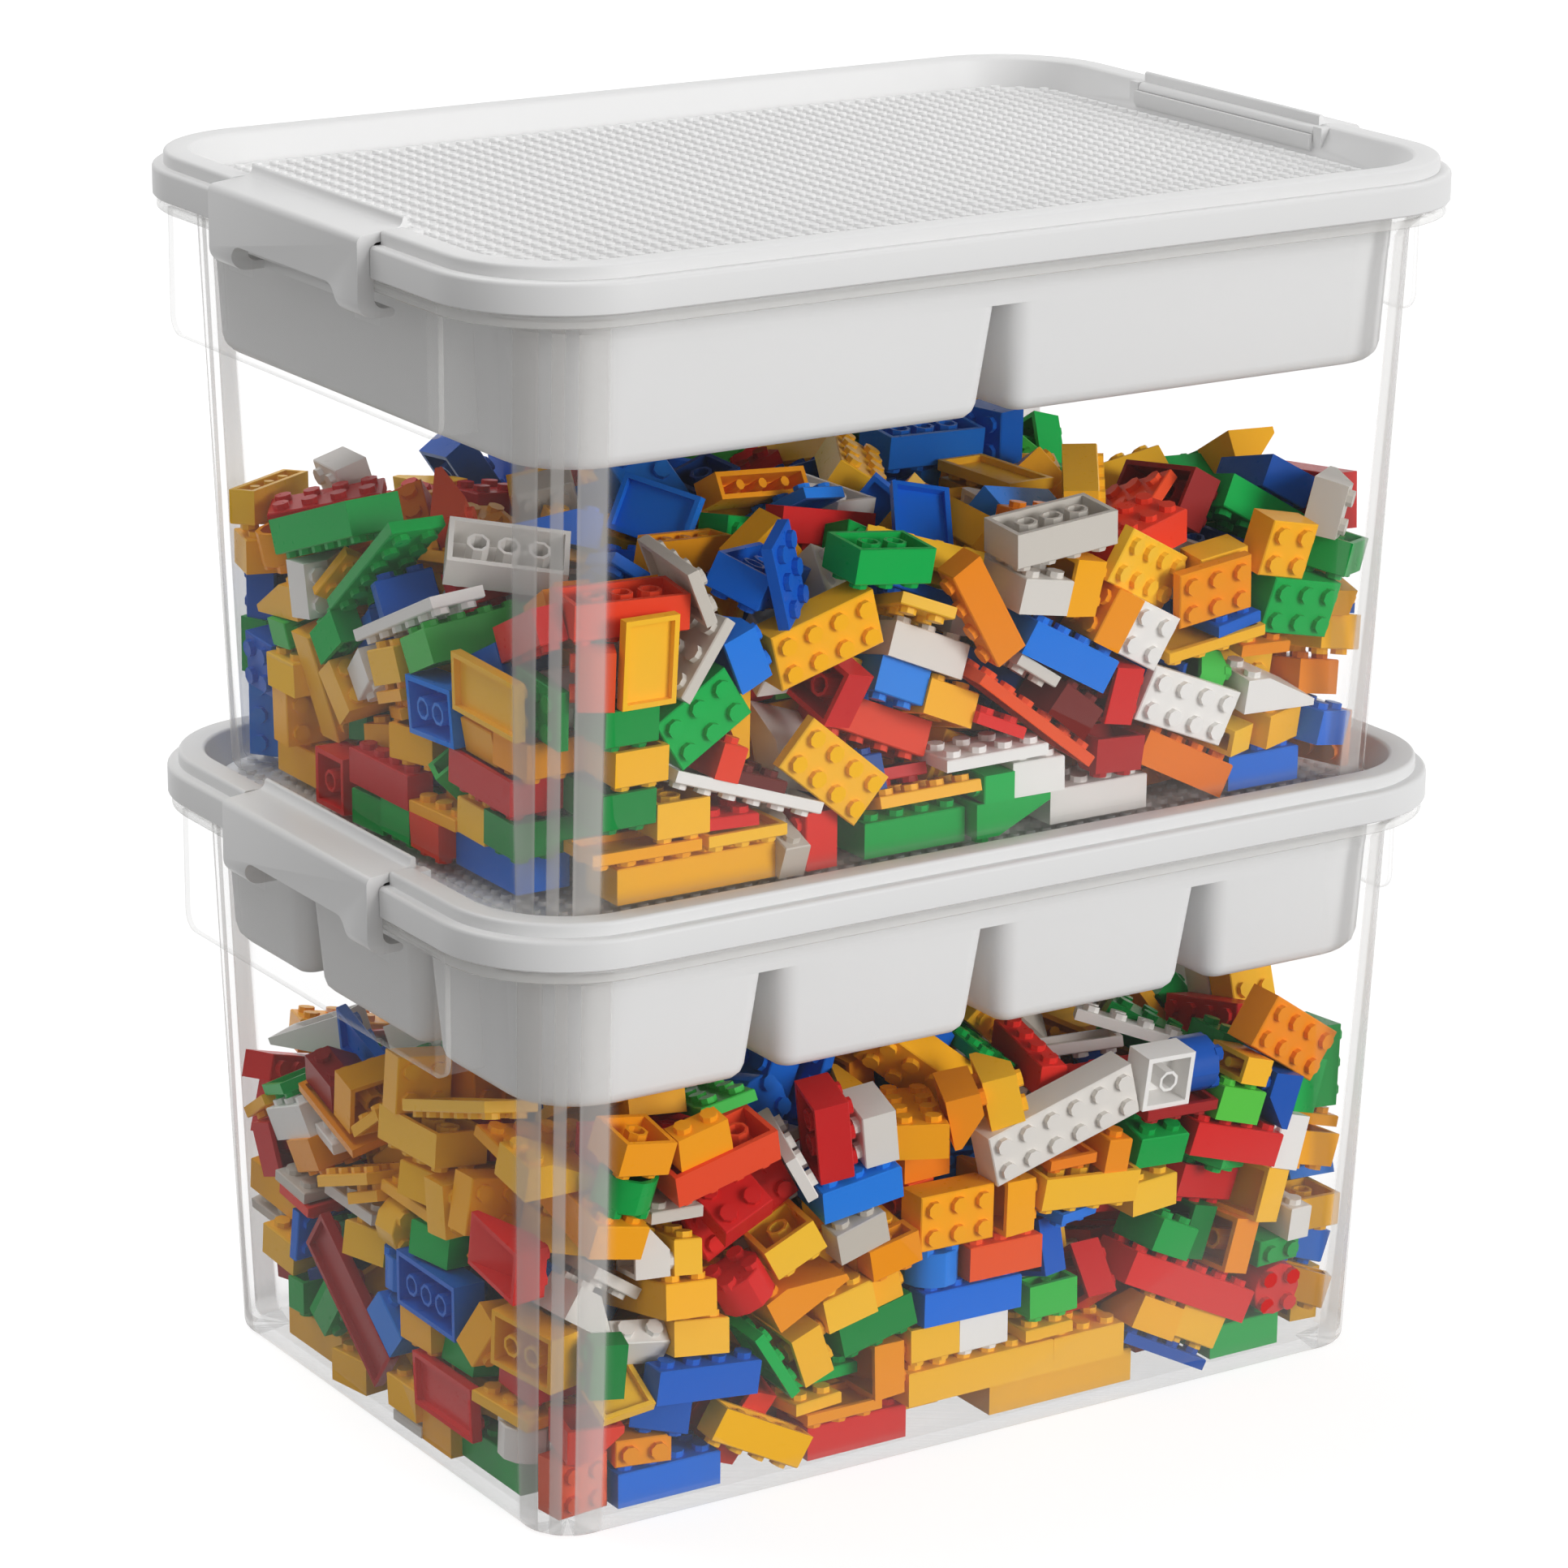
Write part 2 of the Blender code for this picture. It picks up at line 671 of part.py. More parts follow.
def bricks_standing_out(name, crest):
    """Bricks in a spiral over the pile, each turned and tipped its own way, with their tops at one level."""
    half_across = brick_studs_across * brick_pitch / 2
    longest = 2 * half_across
    room = tub_wall + heap_wall_gap + math.hypot(longest, half_across, brick_height / 2)
    spread_x = tub_half_x(tub_height / 2) - room
    spread_y = tub_half_y(tub_height / 2) - room
    bricks = []
    for index in range(heap_bricks_out):
        angle = index * golden_angle
        out = math.sqrt((index + 0.5) / heap_bricks_out)
        half_long = half_across + (longest - half_across) * (index % 3) / 2
        lean = (heap_brick_tip * math.sin(2 * angle), heap_brick_tip * math.cos(3 * angle), angle)
        turn = Euler(lean).to_matrix()
        sides = [(-reach, reach) for reach in (half_long, half_across, brick_height / 2)]
        rings = [[turn @ Vector(point) for point in points] for points in block(*sides)]
        height = crest - max(point.z for points in rings for point in points)
        place = Vector((spread_x * out * math.cos(angle), spread_y * out * math.sin(angle), height))
        bricks.append([[point + place for point in points] for points in rings])
    return lofts(name, bricks)


def make_heap(prefix, base, under_tray, material, parent):
    """The piled bricks above the floor rows, as one lumpy closed solid with bricks standing out of it."""
    floor = tub_floor + clearance
    step = floor + brick_height + brick_stud_height + heap_step_gap
    edge_height = tub_height + tray_bottom_z - under_tray
    behind_rows = tub_wall + floor_round + brick_studs_across * brick_pitch + 2 * heap_wall_gap
    beside_wall = tub_wall + heap_wall_gap
    rings = [
        tub_ring(floor, base, behind_rows),
        tub_ring(step, base, behind_rows),
        tub_ring(step, base, beside_wall, post_thickening),
        tub_ring(edge_height, base, beside_wall, post_thickening),
    ]
    edge = rings[-1]
    for share in heap_ring_shares:
        points = []
        for x, y, z in edge:
            wave_x = math.sin(heap_waves_long * math.pi * (x * share / half_length + 1 / 3))
            wave_y = math.cos(heap_waves_wide * math.pi * y * share / half_width)
            rise = heap_bump * (1 - share) + heap_bump * heap_wave_share * wave_x * wave_y
            points.append((x * share, y * share, z + rise))
        rings.append(points)
    heap = loft(prefix + "_brick_heap", rings)
    crest = base + edge_height + heap_bricks_rise
    join(heap, bricks_standing_out(prefix + "_bricks_standing_out", crest))
    return finish(heap, material, (0, 0, base), parent)


# Whole box
def make_box(prefix, base, tray_cells, under_tray, front_row, left_row, parent=None):
    tub = make_tub(prefix, base, plastic(prefix + "_tub_clear", clear_plastic, 0.1, 0.35))
    if parent:
        hang(tub, parent)
    make_tray(prefix, base, *tray_cells, plastic(prefix + "_tray_white", white_plastic), tub)
    lid = make_lid(prefix, base, plastic(prefix + "_lid_white", white_plastic), tub)
    make_panel(prefix, base, plastic(prefix + "_panel_white", white_plastic), lid)
    for side in ("left", "right"):
        make_latch(prefix, side, base, plastic(f"{prefix}_latch_{side}_white", white_plastic), lid)
    colours = {
        name: plastic(f"{prefix}_brick_{name}", colour) for name, colour in brick_colours.items()
    }
    make_floor_bricks(prefix, base, front_row, left_row, colours, tub)
    heap_plastic = plastic(prefix + "_heap_yellow", brick_colours["yellow"])
    make_heap(prefix, base, under_tray, heap_plastic, tub)
    return lid


for old in list(bpy.data.objects):
    bpy.data.objects.remove(old, do_unlink=True)

lower_cups = (4, 3, True)
upper_cups = (2, 1, False)
lower_rows = (lower_front_row, lower_left_row)
upper_rows = (upper_front_row, upper_left_row)
lower_lid = make_box("lower", 0.0, lower_cups, lower_heap_under_tray, *lower_rows)
make_box("upper", box_pitch, upper_cups, upper_heap_under_tray, *upper_rows, lower_lid)
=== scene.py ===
import json
import math
import random

import bmesh
import bpy
from mathutils import Euler, Matrix, Quaternion, Vector

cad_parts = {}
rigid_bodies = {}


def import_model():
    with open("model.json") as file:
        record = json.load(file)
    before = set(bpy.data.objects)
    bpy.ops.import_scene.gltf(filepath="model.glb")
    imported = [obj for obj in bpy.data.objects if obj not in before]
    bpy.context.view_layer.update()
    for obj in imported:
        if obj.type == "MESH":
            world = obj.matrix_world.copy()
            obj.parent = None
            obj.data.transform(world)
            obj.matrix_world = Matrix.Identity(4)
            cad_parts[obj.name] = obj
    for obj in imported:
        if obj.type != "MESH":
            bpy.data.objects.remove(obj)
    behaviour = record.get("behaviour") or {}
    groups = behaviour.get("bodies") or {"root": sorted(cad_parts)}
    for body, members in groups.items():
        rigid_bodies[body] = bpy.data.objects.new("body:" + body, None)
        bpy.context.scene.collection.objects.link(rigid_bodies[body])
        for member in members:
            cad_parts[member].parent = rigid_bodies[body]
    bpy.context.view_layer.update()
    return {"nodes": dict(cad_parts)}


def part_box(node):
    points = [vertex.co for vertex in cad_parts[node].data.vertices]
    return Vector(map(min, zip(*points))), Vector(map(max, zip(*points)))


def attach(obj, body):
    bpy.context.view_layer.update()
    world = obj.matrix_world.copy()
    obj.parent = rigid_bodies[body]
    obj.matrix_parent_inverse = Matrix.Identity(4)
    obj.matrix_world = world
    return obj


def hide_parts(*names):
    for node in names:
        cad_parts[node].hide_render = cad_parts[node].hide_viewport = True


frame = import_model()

for spare in ("Cube", "Light", "Camera"):
    if spare in bpy.data.objects:
        bpy.data.objects.remove(bpy.data.objects[spare], do_unlink=True)

mm = 0.001

# Tubs
# Each box's tub is one clear polypropylene moulding. Its walls lean out towards the top, its corners are
# thick posts with vertical bands of painted light, milky bands that stand in for the light the thick
# corners bend and reflect, and a flange with a turned-down lip runs under the lid.
# A thin finger skirt with two windows for the latch's hooks hangs from the flange at each short end.
lid_half_x = 200 * mm
lid_half_y = 142 * mm
lid_corner = 48 * mm
tub_height = 210.5 * mm
tub_wall = 2.2 * mm
tub_floor = 3 * mm
post_thickening = 6 * mm
tub_corner = 42 * mm
corner_taper = 25 * mm
wall_inset_x = 16.5 * mm
wall_inset_y = 4.7 * mm
taper_x = 10 * mm
taper_y = 18.3 * mm
tub_rim_inset = 7.5 * mm
shoulder_drop = 8 * mm
rim_height = 5 * mm
seat_gap = 0.3 * mm
flange_inset = 1.3 * mm
flange_plate = 2 * mm
flange_drop = 4.4 * mm
flange_lip = 1.2 * mm
skirt_half_width = 96 * mm
skirt_depth = 46 * mm
skirt_wall = 1.8 * mm
skirt_corner = 7 * mm
window_low = 16.1 * mm
rib_wall = 0.9 * mm
edge_haze, flat_haze, rib_haze = 0.22, 0.01, 0.04
hook_outer_y = 53 * mm
hook_inner_y = 37 * mm
bases = {"lower": 0.0, "upper": 217.5 * mm}
round_steps = 16
quarters = ((1, 1), (-1, 1), (-1, -1), (1, -1))


def rounded_ring(half_x, half_y, corner, z, centre=(0, 0), corners=None, steps=round_steps):
    """One closed outline with four rounded corners, counter-clockwise from the +X side."""
    radii = corners or (corner,) * 4
    points = []
    for quarter, ((sign_x, sign_y), radius) in enumerate(zip(quarters, radii)):
        for step in range(steps + 1):
            angle = math.pi / 2 * (quarter + step / steps)
            x = centre[0] + sign_x * (half_x - radius) + radius * math.cos(angle)
            y = centre[1] + sign_y * (half_y - radius) + radius * math.sin(angle)
            points.append((x, y, z))
    return points


def edge_round(radius, steps=4):
    """How far a rounded edge lies inwards and upwards, from its flat face to its upright one."""
    angles = [math.pi / 2 * step / steps for step in range(steps + 1)]
    return [(radius * (1 - math.sin(a)), radius * (1 - math.cos(a))) for a in angles]


def arc(centre, radius, start, end, steps):
    angles = [math.radians(start + (end - start) * step / steps) for step in range(steps + 1)]
    return [(centre[0] + radius * math.cos(a), centre[1] + radius * math.sin(a)) for a in angles]


def add_loft(editor, rings, **paint):
    """Adds a closed shape that joins a list of outlines, with a value for each ring of any named layer."""
    layers = {name: editor.verts.layers.float.new(name) for name in paint}
    rows = [[editor.verts.new(point) for point in points] for points in rings]
    for lower, upper in zip(rows, rows[1:]):
        for index in range(len(lower)):
            after = (index + 1) % len(lower)
            editor.faces.new((lower[index], lower[after], upper[after], upper[index]))
    editor.faces.new(list(reversed(rows[0])))
    editor.faces.new(rows[-1])
    for name, values in paint.items():
        for row, value in zip(rows, values):
            for vertex in row:
                vertex[layers[name]] = value


def add_bar(editor, section, ends, **paint):
    """Adds a bar along Y that has the given cross-section."""
    add_loft(editor, [[(x, y, z) for x, z in section] for y in ends], **paint)


def add_block(editor, x_range, y_range, z_range):
    (x0, x1), (y0, y1) = sorted(x_range), sorted(y_range)
    add_loft(editor, [[(x0, y0, z), (x1, y0, z), (x1, y1, z), (x0, y1, z)] for z in z_range])


def as_object(name, editor, *materials, sharp=35):
    """Turns an edited mesh into an object whose faces point outwards."""
    bmesh.ops.recalc_face_normals(editor, faces=editor.faces)
    mesh = bpy.data.meshes.new(name)
    editor.to_mesh(mesh)
    editor.free()
    mesh.shade_smooth()
    mesh.set_sharp_from_angle(angle=math.radians(sharp))
    for material in materials:
        mesh.materials.append(material)
    made = bpy.data.objects.new(name, mesh)
    bpy.context.scene.collection.objects.link(made)
    return made


def lofted(name, rings, *materials, **paint):
    editor = bmesh.new()
    add_loft(editor, rings, **paint)
    return as_object(name, editor, *materials)


def settle(made, sharp=35):
    """Turns what an object's modifiers make into its own plain mesh."""
    graph = bpy.context.evaluated_depsgraph_get()
    mesh = bpy.data.meshes.new_from_object(made.evaluated_get(graph))
    made.modifiers.clear()
    made.data = mesh
    mesh.shade_smooth()
    mesh.set_sharp_from_angle(angle=math.radians(sharp))


def carve(made, name, editor, operation="DIFFERENCE"):
    """Cuts an edited mesh out of an object, or joins it to the object."""
    tool = as_object(name, editor)
    modifier = made.modifiers.new(name, "BOOLEAN")
    modifier.object = tool
    modifier.operation = operation
    modifier.solver = "EXACT"
    settle(made)
    bpy.data.objects.remove(tool, do_unlink=True)


def absorb(made, other):
    """Moves another object's mesh into this one, as a shell of its own."""
    editor = bmesh.new()
    editor.from_mesh(made.data)
    editor.from_mesh(other.data)
    editor.to_mesh(made.data)
    editor.free()
    bpy.data.objects.remove(other, do_unlink=True)


def operator(operation, reflected=False):
    """One of a wire's operators, which adds a Math node."""

    def method(self, other):
        return self.math(operation, *((other, self) if reflected else (self, other)))

    return method


class Wire:
    """A socket of a node tree, on which sums and products add Math nodes."""

    def __init__(self, tree, socket=None):
        self.tree = tree
        self.socket = socket

    def node(self, kind, settings=None, sockets=None, output=0):
        """Adds any node: its settings first, then the values or links of its sockets."""
        made = self.tree.nodes.new(kind)
        for name, value in (settings or {}).items():
            if name == "stops":
                self.set_stops(made.color_ramp, value)
            else:
                setattr(made, name, value)
        for name, value in (sockets or {}).items():
            self.feed(made.inputs[name], value)
        return Wire(self.tree, made.outputs[output] if made.outputs else None)

    def feed(self, socket, value):
        if isinstance(value, Wire):
            self.tree.links.new(value.socket, socket)
        else:
            socket.default_value = value

    @staticmethod
    def set_stops(ramp, stops):
        while len(ramp.elements) < len(stops):
            ramp.elements.new(0.5)
        for element, (place, value) in zip(ramp.elements, stops):
            element.position = place
            element.color = (*value, 1) if isinstance(value, tuple) else (value, value, value, 1)

    def other(self, output):
        """Another output of the node that this wire comes from."""
        return Wire(self.tree, self.socket.node.outputs[output])

    def math(self, operation, *values):
        return self.node("ShaderNodeMath", {"operation": operation}, dict(enumerate(values)))

    __add__, __radd__ = operator("ADD"), operator("ADD", reflected=True)
    __sub__, __rsub__ = operator("SUBTRACT"), operator("SUBTRACT", reflected=True)
    __mul__, __rmul__ = operator("MULTIPLY"), operator("MULTIPLY", reflected=True)
    __truediv__, __lt__ = operator("DIVIDE"), operator("LESS_THAN")

    def __abs__(self):
        return self.math("ABSOLUTE", self)


def shade(red, green, blue):
    """A colour as a screen shows it, 0 to 255, turned into light values."""
    return tuple(
        value / 255 / 12.92 if value / 255 < 0.04045 else ((value / 255 + 0.055) / 1.055) ** 2.4
        for value in (red, green, blue)
    )


def new_finish(name, **same_all_over):
    """A material with its shader, a bare wire in its tree and the wire of the object's own coordinates."""
    material = bpy.data.materials.new(name)
    material.use_nodes = True
    shader = material.node_tree.nodes["Principled BSDF"]
    for socket, value in same_all_over.items():
        shader.inputs[socket.replace("_", " ")].default_value = value
    start = Wire(material.node_tree)
    return material, shader, start, start.node("ShaderNodeTexCoord", output="Object")


def mixed(start, factor, first, second):
    """One colour that goes over into another."""
    colours = [c if isinstance(c, Wire) else (*c, 1) for c in (first, second)]
    sockets = {0: factor, 6: colours[0], 7: colours[1]}
    return start.node("ShaderNodeMix", {"data_type": "RGBA"}, sockets, output=2)


def noise(start, place, scale, detail=2.0):
    return start.node("ShaderNodeTexNoise", None, {"Vector": place, "Scale": scale, "Detail": detail})


def clear_plastic(name, base):
    """Clear polypropylene: nearly unseen on the flats and milky at the edges, with painted light bands in
    the corner posts.
    """
    material, shader, start, place = new_finish(name, IOR=1.5, Specular_IOR_Level=0.25)
    apart = start.node("ShaderNodeSeparateXYZ", None, {"Vector": place})
    x, y, z = abs(apart), abs(apart.other("Y")), apart.other("Z")
    up = (z - base) / tub_height
    corner = up * corner_taper + (tub_corner - corner_taper)
    from_x = x - (up * taper_x + (lid_half_x - wall_inset_x - taper_x) - corner)
    from_y = y - (up * taper_y + (lid_half_y - wall_inset_y - taper_y) - corner)
    turned = start.math("ARCTAN2", from_y, from_x)
    along = abs((turned - math.pi / 4) * corner)
    # Painted light: three vertical milky bands around each corner post, greyer and less clear than the
    # wall, stand in for the light that the thick corners bend and reflect.
    band_reach = 20 * mm
    band_stops = ((0.0, 0.85), (0.095, 0.85), (0.125, 0.1), (0.32, 0.12), (0.35, 1.0))
    band_stops += ((0.4, 0.8), (0.8, 0.85), (0.85, 0.2), (0.9, 0.06), (1.0, 0.0))
    band = start.node("ShaderNodeValToRGB", {"stops": band_stops}, {"Fac": along / band_reach})
    post = start.node("ShaderNodeAttribute", {"attribute_name": "post"}, output="Fac")
    haze = start.node("ShaderNodeAttribute", {"attribute_name": "haze"}, output="Fac")
    grazing = start.node("ShaderNodeFresnel", None, {"IOR": 1.35})
    cloud = noise(start, place, 14.0)
    light_bands = band * post
    alpha = haze * (cloud * 0.3 + 0.85) + light_bands * 0.6 + grazing * 0.05
    milkiest = 0.92
    start.feed(shader.inputs["Alpha"], start.math("MINIMUM", alpha, milkiest))
    colour = mixed(start, light_bands, shade(238, 237, 234), shade(216, 213, 210))
    start.feed(shader.inputs["Base Color"], colour)
    start.feed(shader.inputs["Roughness"], light_bands * 0.35 + cloud * 0.06 + 0.07)
    return material


def tub_at(height):
    """The wall's half length, half width and corner radius outside, at a height above the tub's base."""
    down = 1 - height / tub_height
    half_x = lid_half_x - wall_inset_x - taper_x * down
    half_y = lid_half_y - wall_inset_y - taper_y * down
    return half_x, half_y, tub_corner - corner_taper * down


def tub_ring(height, base, inset=0.0, corner_more=0.0, half_x=None):
    """The tub's outline at a height, as long as its wall unless another length is given."""
    wall_x, half_y, corner = tub_at(height)
    return rounded_ring((half_x or wall_x) - inset, half_y - inset, corner + corner_more, base + height)


def lid_ring(inset, z):
    return rounded_ring(lid_half_x - inset, lid_half_y - inset, lid_corner - inset, z)


def make_skirt(name, sign, top):
    """The finger skirt at one end, with rounded lower corners, side ribs and two hook windows.

    It is unseen on the flat and milky at its edge."""
    outer = sign * (lid_half_x - flange_inset)
    inner = outer - sign * skirt_wall
    low, high = top - skirt_depth, top - flange_plate / 2 - seat_gap
    middle_y, middle_z = skirt_half_width - skirt_corner, low + skirt_corner

    def outline(x, inset):
        radius, reach = skirt_corner - inset, skirt_half_width - inset
        points = [(reach, high - inset), (-reach, high - inset)]
        points += arc((-middle_y, middle_z), radius, 180, 270, 6)
        points += arc((middle_y, middle_z), radius, 270, 360, 6)
        return [(x, y, z) for y, z in points]

    skirt = lofted(name, [outline(inner, mm), outline(inner, 0), outline(outer, 0), outline(outer, mm)])
    windows = bmesh.new()
    for end in (-1, 1):
        reach = (end * (hook_inner_y - 2 * seat_gap), end * (hook_outer_y + 2 * seat_gap))
        through = (outer + sign * mm, inner - sign * mm)
        add_block(windows, through, reach, (top - window_low, top - flange_drop))
    carve(skirt, name + "_windows", windows)
    milk = skirt.data.attributes.new("haze", "FLOAT", "POINT")
    for vertex, value in zip(skirt.data.vertices, milk.data):
        over_y = max(abs(vertex.co.y) - middle_y, 0)
        over_z = max(middle_z - vertex.co.z, 0)
        at_edge = math.hypot(over_y, over_z) > skirt_corner - 0.3 * mm
        value.value = edge_haze if at_edge else flat_haze
    ribs = bmesh.new()
    for end in (-1, 1):
        tip = end * middle_y
        web = [(outer, high), (sign * (lid_half_x - tub_rim_inset - mm), high)]
        for height in (tub_height - shoulder_drop, tub_height - skirt_depth):
            web.append((sign * (tub_at(height)[0] - mm), top - tub_height + height))
        web.append((outer, low))
        add_bar(ribs, web, (tip, tip - end * rib_wall), haze=(rib_haze, rib_haze))
    absorb(skirt, as_object(name + "_ribs", ribs))
    return skirt


def make_tub(prefix):
    base = bases[prefix]
    top = base + tub_height
    under = tub_height - seat_gap - flange_plate
    rings, haze, post = [], [], []
    outer_round, inner_round = 3 * mm, 6 * mm

    def add(points, milky, posts=0.0):
        rings.append(points)
        haze.append(milky)
        post.append(posts)

    for inwards, up in edge_round(outer_round):
        add(tub_ring(up, base, inwards, -inwards / 2), 0.2, 0.5)
    for height, milky in ((6 * mm, 0.08), (12 * mm, 0.01), (100 * mm, 0.004), (170 * mm, 0.006)):
        add(tub_ring(height, base), milky, 1.0)
    rim_x = lid_half_x - tub_rim_inset
    shoulder = tub_height - shoulder_drop
    add(tub_ring(shoulder - 2 * mm, base), 0.02, 1.0)
    add(tub_ring(shoulder, base), 0.1, 1.0)
    add(tub_ring(under, base, half_x=rim_x), 0.2, 1.0)
    lip = flange_inset + flange_lip
    add(lid_ring(lip, base + under), 0.2)
    add(lid_ring(lip, top - flange_drop), 0.3)
    add(lid_ring(flange_inset + 0.4 * mm, top - flange_drop), 0.35)
    add(lid_ring(flange_inset, top - flange_drop + 0.4 * mm), 0.35)
    add(lid_ring(flange_inset, top - seat_gap), 0.3)
    add(tub_ring(tub_height - seat_gap, base, half_x=rim_x), 0.3)
    add(tub_ring(tub_height + rim_height, base, half_x=rim_x), 0.5)
    add(tub_ring(tub_height + rim_height, base, tub_wall, post_thickening, rim_x), 0.4)
    add(tub_ring(tub_height - seat_gap, base, tub_wall, post_thickening, rim_x), 0.1)
    add(tub_ring(shoulder + 2.5 * mm, base, tub_wall, post_thickening), 0.0)
    add(tub_ring(tub_height / 2, base, tub_wall, post_thickening), 0.0)
    for inwards, up in reversed(edge_round(inner_round)):
        add(tub_ring(tub_floor + up, base, tub_wall + inwards, post_thickening), 0.06)
    finish = clear_plastic(prefix + "_clear_plastic", base)
    tub = lofted(prefix + "_clear_tub", rings, finish, haze=haze, post=post)
    for side, sign in (("left", -1), ("right", 1)):
        absorb(tub, make_skirt(f"{prefix}_skirt_{side}", sign, top))
    tub.data.set_sharp_from_angle(angle=math.radians(35))
    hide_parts(prefix + "_tub")
    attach(tub, prefix + "_tub")


for prefix in bases:
    make_tub(prefix)

# Loose bricks
# Hundreds of studded building bricks in glossy ABS fill both tubs: bricks two to six studs long, plates,
# roof bricks and round ones, hollow below with tubes inside. They are dropped into the tub and lie as they
# fell, under the tray. A few lie flat on the tub's floor along its front and left walls.
pitch = 10.4 * mm
brick_height = 12.5 * mm
plate_height = 4.2 * mm
stud_radius = 3.1 * mm
stud_height = 2.1 * mm
tube_radius, tube_bore = 4.1 * mm, 3 * mm
peg_radius = 1.9 * mm
brick_gap = 0.4 * mm
brick_wall = 1.8 * mm
roof_lip = 2.5 * mm
tray_bottom = 154.5 * mm
brick_kinds = (
    ("brick", 4, 2, brick_height, 20),
    ("brick", 3, 2, brick_height, 11),
    ("brick", 2, 2, brick_height, 16),
    ("brick", 4, 1, brick_height, 7),
    ("brick", 2, 1, brick_height, 8),
    ("brick", 6, 2, brick_height, 3),
    ("brick", 4, 2, plate_height, 12),
    ("brick", 6, 2, plate_height, 7),
    ("brick", 3, 2, plate_height, 6),
    ("roof", 3, 2, brick_height, 6),
    ("roof", 2, 2, brick_height, 4),
    ("round", 2, 2, brick_height, 4),
)
brick_shares = {"yellow": 40, "red": 18, "blue": 16, "green": 13, "white": 12}
brick_tones = {
    "yellow": (
        (0.0, (240, 124, 30)), (0.08, (248, 152, 24)), (0.25, (255, 178, 24)), (1.0, (255, 200, 54)),
    ),
    "red": ((0.0, (84, 42, 38)), (0.1, (202, 30, 34)), (0.7, (232, 44, 40)), (1.0, (244, 92, 44))),
    "blue": ((0.0, (24, 62, 126)), (0.2, (10, 90, 194)), (0.6, (18, 114, 228)), (1.0, (44, 138, 236))),
    "green": ((0.0, (12, 118, 54)), (0.3, (6, 164, 70)), (0.8, (10, 182, 82)), (1.0, (90, 202, 66))),
    "white": (
        (0.0, (200, 192, 180)), (0.3, (226, 221, 214)), (0.6, (240, 237, 233)), (1.0, (248, 246, 243)),
    ),
}


def glossy_brick(name, stops):
    """Moulded ABS in one family of colours, in which each brick takes its own tone."""
    material, shader, start, place = new_finish(name, IOR=1.53, Specular_IOR_Level=0.08)
    tone = start.node("ShaderNodeAttribute", {"attribute_name": "tone"}, output="Fac")
    colours = [(at, shade(*colour)) for at, colour in stops]
    colour = start.node("ShaderNodeValToRGB", {"stops": colours}, {"Fac": tone})
    cloud = noise(start, place, 60.0)
    worn = noise(start, place, 420.0, 4.0)
    dust = shade(150, 140, 130)
    start.feed(shader.inputs["Base Color"], mixed(start, cloud * 0.03, colour, dust))
    start.feed(shader.inputs["Roughness"], worn * 0.22 + 0.2)
    sockets = {"Strength": 0.1, "Distance": 0.1 * mm, "Height": worn}
    start.feed(shader.inputs["Normal"], start.node("ShaderNodeBump", None, sockets))
    return material


def add_post(editor, x, y, low, high, radius, bore=0.0, sides=8):
    """A round post, and where it has a bore, one that is open below and closed above."""
    angles = [2 * math.pi * (side + 0.5) / sides for side in range(sides)]
    levels = [(high, radius), (low, radius)]
    if bore:
        levels += [(low, bore), (high - 0.5 * mm, bore)]
    rings = []
    for z, reach in levels:
        rings.append([(x + reach * math.cos(a), y + reach * math.sin(a), z) for a in angles])
    add_loft(editor, rings)


def brick_mesh(form, long, wide, height):
    """One brick about its own middle, with its studs up, hollow below."""
    half_x = (long * pitch - brick_gap) / 2
    half_y = (wide * pitch - brick_gap) / 2
    low = -(height + stud_height) / 2
    high = low + height
    soft = 0.4 * mm
    roof_x = half_x - (long - 1) * pitch if form == "roof" else half_x
    ceiling = high - brick_wall
    editor = bmesh.new()

    def outline(x1, drawn_in, z):
        x0, reach_y = drawn_in - half_x, half_y - drawn_in
        if form == "round":
            return rounded_ring(reach_y, reach_y, reach_y, z, steps=3)
        return [(x1, reach_y, z), (x0, reach_y, z), (x0, -reach_y, z), (x1, -reach_y, z)]

    rings = [
        outline(roof_x - brick_wall, brick_wall, ceiling),
        outline(half_x - brick_wall, brick_wall, low),
        outline(half_x, 0, low),
        outline(half_x, 0, low + roof_lip if form == "roof" else high - soft),
        outline(roof_x - soft, soft, high),
    ]
    add_loft(editor, rings)
    for column in range(1 if form == "roof" else long):
        for row in range(wide):
            x = (column - (long - 1) / 2) * pitch
            y = (row - (wide - 1) / 2) * pitch
            add_post(editor, x, y, high - mm, high + stud_height, stud_radius)
    if form == "brick" and height == brick_height:
        for column in range(long - 1):
            x = (column - (long - 2) / 2) * pitch
            radius, bore = (tube_radius, tube_bore) if wide == 2 else (peg_radius, 0)
            add_post(editor, x, 0, low + 0.3 * mm, ceiling + mm, radius, bore)
    return editor


library = bpy.data.collections.new("brick kinds")
for number, (form, long, wide, height, share) in enumerate(brick_kinds):
    kind = as_object(f"kind_{number:02d}", brick_mesh(form, long, wide, height), sharp=40)
    bpy.context.scene.collection.objects.unlink(kind)
    library.objects.link(kind)


def brick_size(number):
    form, long, wide, height, share = brick_kinds[number]
    return Vector((long * pitch - brick_gap, wide * pitch - brick_gap, height + stud_height))


